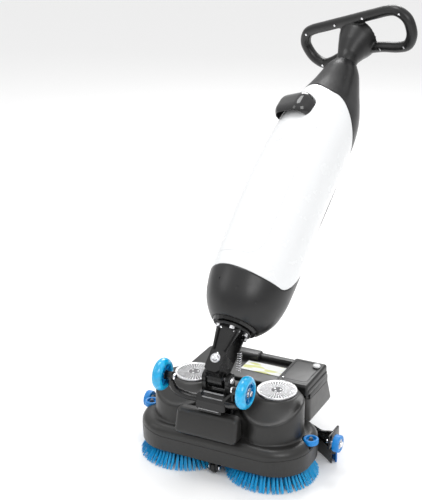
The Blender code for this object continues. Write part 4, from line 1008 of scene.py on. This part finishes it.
def panel_line():
    """The moulded outline on the tank's front, mirrored about its middle."""
    corner, steps = 22.0, 8
    turn, top, base = 52.0, 0.520, 0.150
    points = []
    for k in range(40):
        points.append((turn, top + (base + 0.055 - top) * k / 40))
    for k in range(steps + 1):
        angle = radians(90.0 * k / steps)
        points.append((turn - corner * (1.0 - cos(angle)), base + 0.055 * (1.0 - sin(angle))))
    mirrored = [(-t, z) for t, z in reversed(points)]
    steps = 24
    bottom = [(turn - corner - 2.0 * (turn - corner) * k / steps, base) for k in range(1, steps)]
    return [body_point(t, z) for t, z in points + bottom + mirrored]


def latch():
    work = bmesh.new()
    add_box(work, (0.1080, 0.0700, 0.0760), HERE, 0.0290, 10)
    hood = object_of("hood", work)
    hood.data.transform(at(0.0, -0.0790, 0.5700, HERE, Matrix.Rotation(radians(-8.0), 4, "X")))
    heights = [0.4000 + 0.0100 * k for k in range(33)]
    work = bmesh.new()
    add_loft(work, [[body_point(360.0 * k / 96, z, -0.0004) for k in range(96)] for z in heights])
    room = object_of("room", work)
    work = bmesh.new()
    add_box(work, (0.0960, 0.0700, 0.0600), HERE, 0.0250, 8)
    recess = object_of("recess", work)
    recess.data.transform(at(0.0, -0.0740, 0.5510, HERE, Matrix.Rotation(radians(-8.0), 4, "X")))
    settle(cut(hood, [room, recess]), FOOT, GLOSS, "latch", ("tank_latch",), 40.0)


# ---------------------------------------------------------------- grip
GRIP_R = 0.0141


def handle():
    front, rear, half_x = -0.0175, 0.0780, 0.1800
    half = [(0.0, front, 0.0), (0.0800, front, 0.0), (0.1360, front + 0.0005, 0.0), (0.1620, front + 0.0080, 0.0),
            (half_x, 0.0120, 0.0), (half_x + 0.001, 0.0360, 0.0), (0.1720, 0.0610, 0.0), (0.1480, rear + 0.0035, 0.0),
            (0.1150, rear + 0.0035, 0.0), (0.0700, rear - 0.0060, 0.0), (0.0300, rear - 0.0100, 0.0),
            (0.0, rear - 0.0110, 0.0)]
    loop = spline_through(half + [(-x, y, z) for x, y, z in half[-2:0:-1]], 6, True)
    work = bmesh.new()
    add_tube(work, loop, GRIP_R, 24, True)
    work.transform(RING)
    stations = [(0.0, 0.0075, 0.0255, 0.0255, 0.0), (0.010, 0.0072, 0.0275, 0.0280, 3.0),
                (0.022, 0.0070, 0.0290, 0.0300, 6.0), (0.048, 0.0080, 0.0390, 0.0400, 14.0),
                (0.072, 0.0110, 0.0500, 0.0500, 21.0), (0.090, 0.0142, 0.0580, 0.0550, 26.5)]
    rings = []
    for z, back, wide, deep, tilt in stations:
        turn = Matrix.Rotation(radians(-tilt), 3, "X")
        rings.append([FOOT @ (turn @ Vector((wide * cos(2 * pi * k / 64), deep * sin(2 * pi * k / 64), 0.0))
                              + Vector((0.0, back, BODY_LEN + 0.0004 + z))) for k in range(64)])
    join_loft(work, rings)
    grip = fuse(object_of("grip", work, False), 0.0021, 5)
    settle(grip, HERE, SOFT_BLACK, "handle", ("grip_loop",), 60.0)
    work = bmesh.new()
    for x, y in ((-0.152, -0.0120), (-0.0420, -0.0175), (0.0560, -0.0175), (0.1740, -0.0050), (0.0680, 0.0730),
                 (0.1440, 0.0815), (-0.0680, 0.0730), (-0.1440, 0.0815)):
        add_lathe(work, [(0.0, 0.0), (0.0030, 0.0), (0.0032, 0.0006), (0.0024, 0.0014), (0.0, 0.0016)], 20,
                  at(x, y, -0.0147, HERE, UPSIDE_DOWN))
    settle(object_of("grip_screws", work, False), RING, CHROME, "handle")
    paint(GLOSS, "control_panel")
    for node, finish in (("power_button", TYRE), ("water_button", RIM_WHITE)):
        x = -0.0180 if node == "power_button" else 0.0180
        lathe_piece(node + "_key", [(0.0, 0.0), (0.0085, 0.0), (0.0085, 0.0028), (0.0080, 0.0037), (0.0070, 0.0041),
                                    (0.0, 0.0036)], 40, at(x, 0.0250, 0.0110, RING), finish,
                    node.split("_")[0], (node,))


# ---------------------------------------------------------------- stage, lights, camera
def stage():
    bpy.ops.mesh.primitive_plane_add(size=60.0, location=(0.0, 0.0, -0.0002))
    floor = bpy.context.object
    floor.name = "studio_floor"
    white = Nodes("floor_white", (0.92, 0.92, 0.92), 0.75)
    white.vary_rough(3.0, 0.70, 0.80)
    floor.data.materials.append(white.made)
    world = bpy.data.worlds.new("studio")
    SCENE.world = world
    world.use_nodes = True
    tree = world.node_tree
    sky = tree.nodes["Background"]
    sky.inputs["Strength"].default_value = 1.0
    where = tree.nodes.new("ShaderNodeTexCoord")
    split = tree.nodes.new("ShaderNodeSeparateXYZ")
    ramp = tree.nodes.new("ShaderNodeValToRGB")
    ramp.color_ramp.elements[0].position, ramp.color_ramp.elements[0].color = 0.0, (0.55, 0.55, 0.55, 1.0)
    ramp.color_ramp.elements[1].position, ramp.color_ramp.elements[1].color = 0.60, (0.97, 0.97, 0.97, 1.0)
    tree.links.new(where.outputs["Generated"], split.inputs["Vector"])
    tree.links.new(split.outputs["Z"], ramp.inputs["Fac"])
    tree.links.new(ramp.outputs["Color"], sky.inputs["Color"])
    middle = Vector((0.0, 0.0, 0.40))
    for name, place, size, power in (("key", (1.6, -2.0, 2.2), 1.5, 24.0), ("fill", (-2.2, -1.6, 1.8), 1.2, 7.0),
                                     ("back", (-0.6, 2.2, 2.4), 1.4, 42.0), ("top", (-0.6, -0.1, 2.8), 1.0, 16.0)):
        light = bpy.data.lights.new(name, "AREA")
        light.size = size
        light.energy = power
        lamp = bpy.data.objects.new(name, light)
        lamp.location = place
        lamp.rotation_mode = "QUATERNION"
        lamp.rotation_quaternion = (middle - lamp.location).to_track_quat("-Z", "Y")
        SCENE.collection.objects.link(lamp)
    SCENE.view_settings.view_transform = "Standard"
    lens = bpy.data.cameras.new("camera")
    lens.lens = 86.4
    lens.sensor_width = 36.0
    camera = bpy.data.objects.new("camera", lens)
    right, up = Vector((0.89072, 0.45447, -0.00896)), Vector((-0.15582, 0.32379, 0.93321))
    camera.matrix_world = axes(MACHINE @ Vector((1.13125, -2.282, 1.52418)), right, up, right.cross(up))
    SCENE.collection.objects.link(camera)
    SCENE.camera = camera


stage()
deck()
motor_caps()
brushes()
wheels()
small_rollers()
squeegee()
tank()
pivot()
body()
handle()
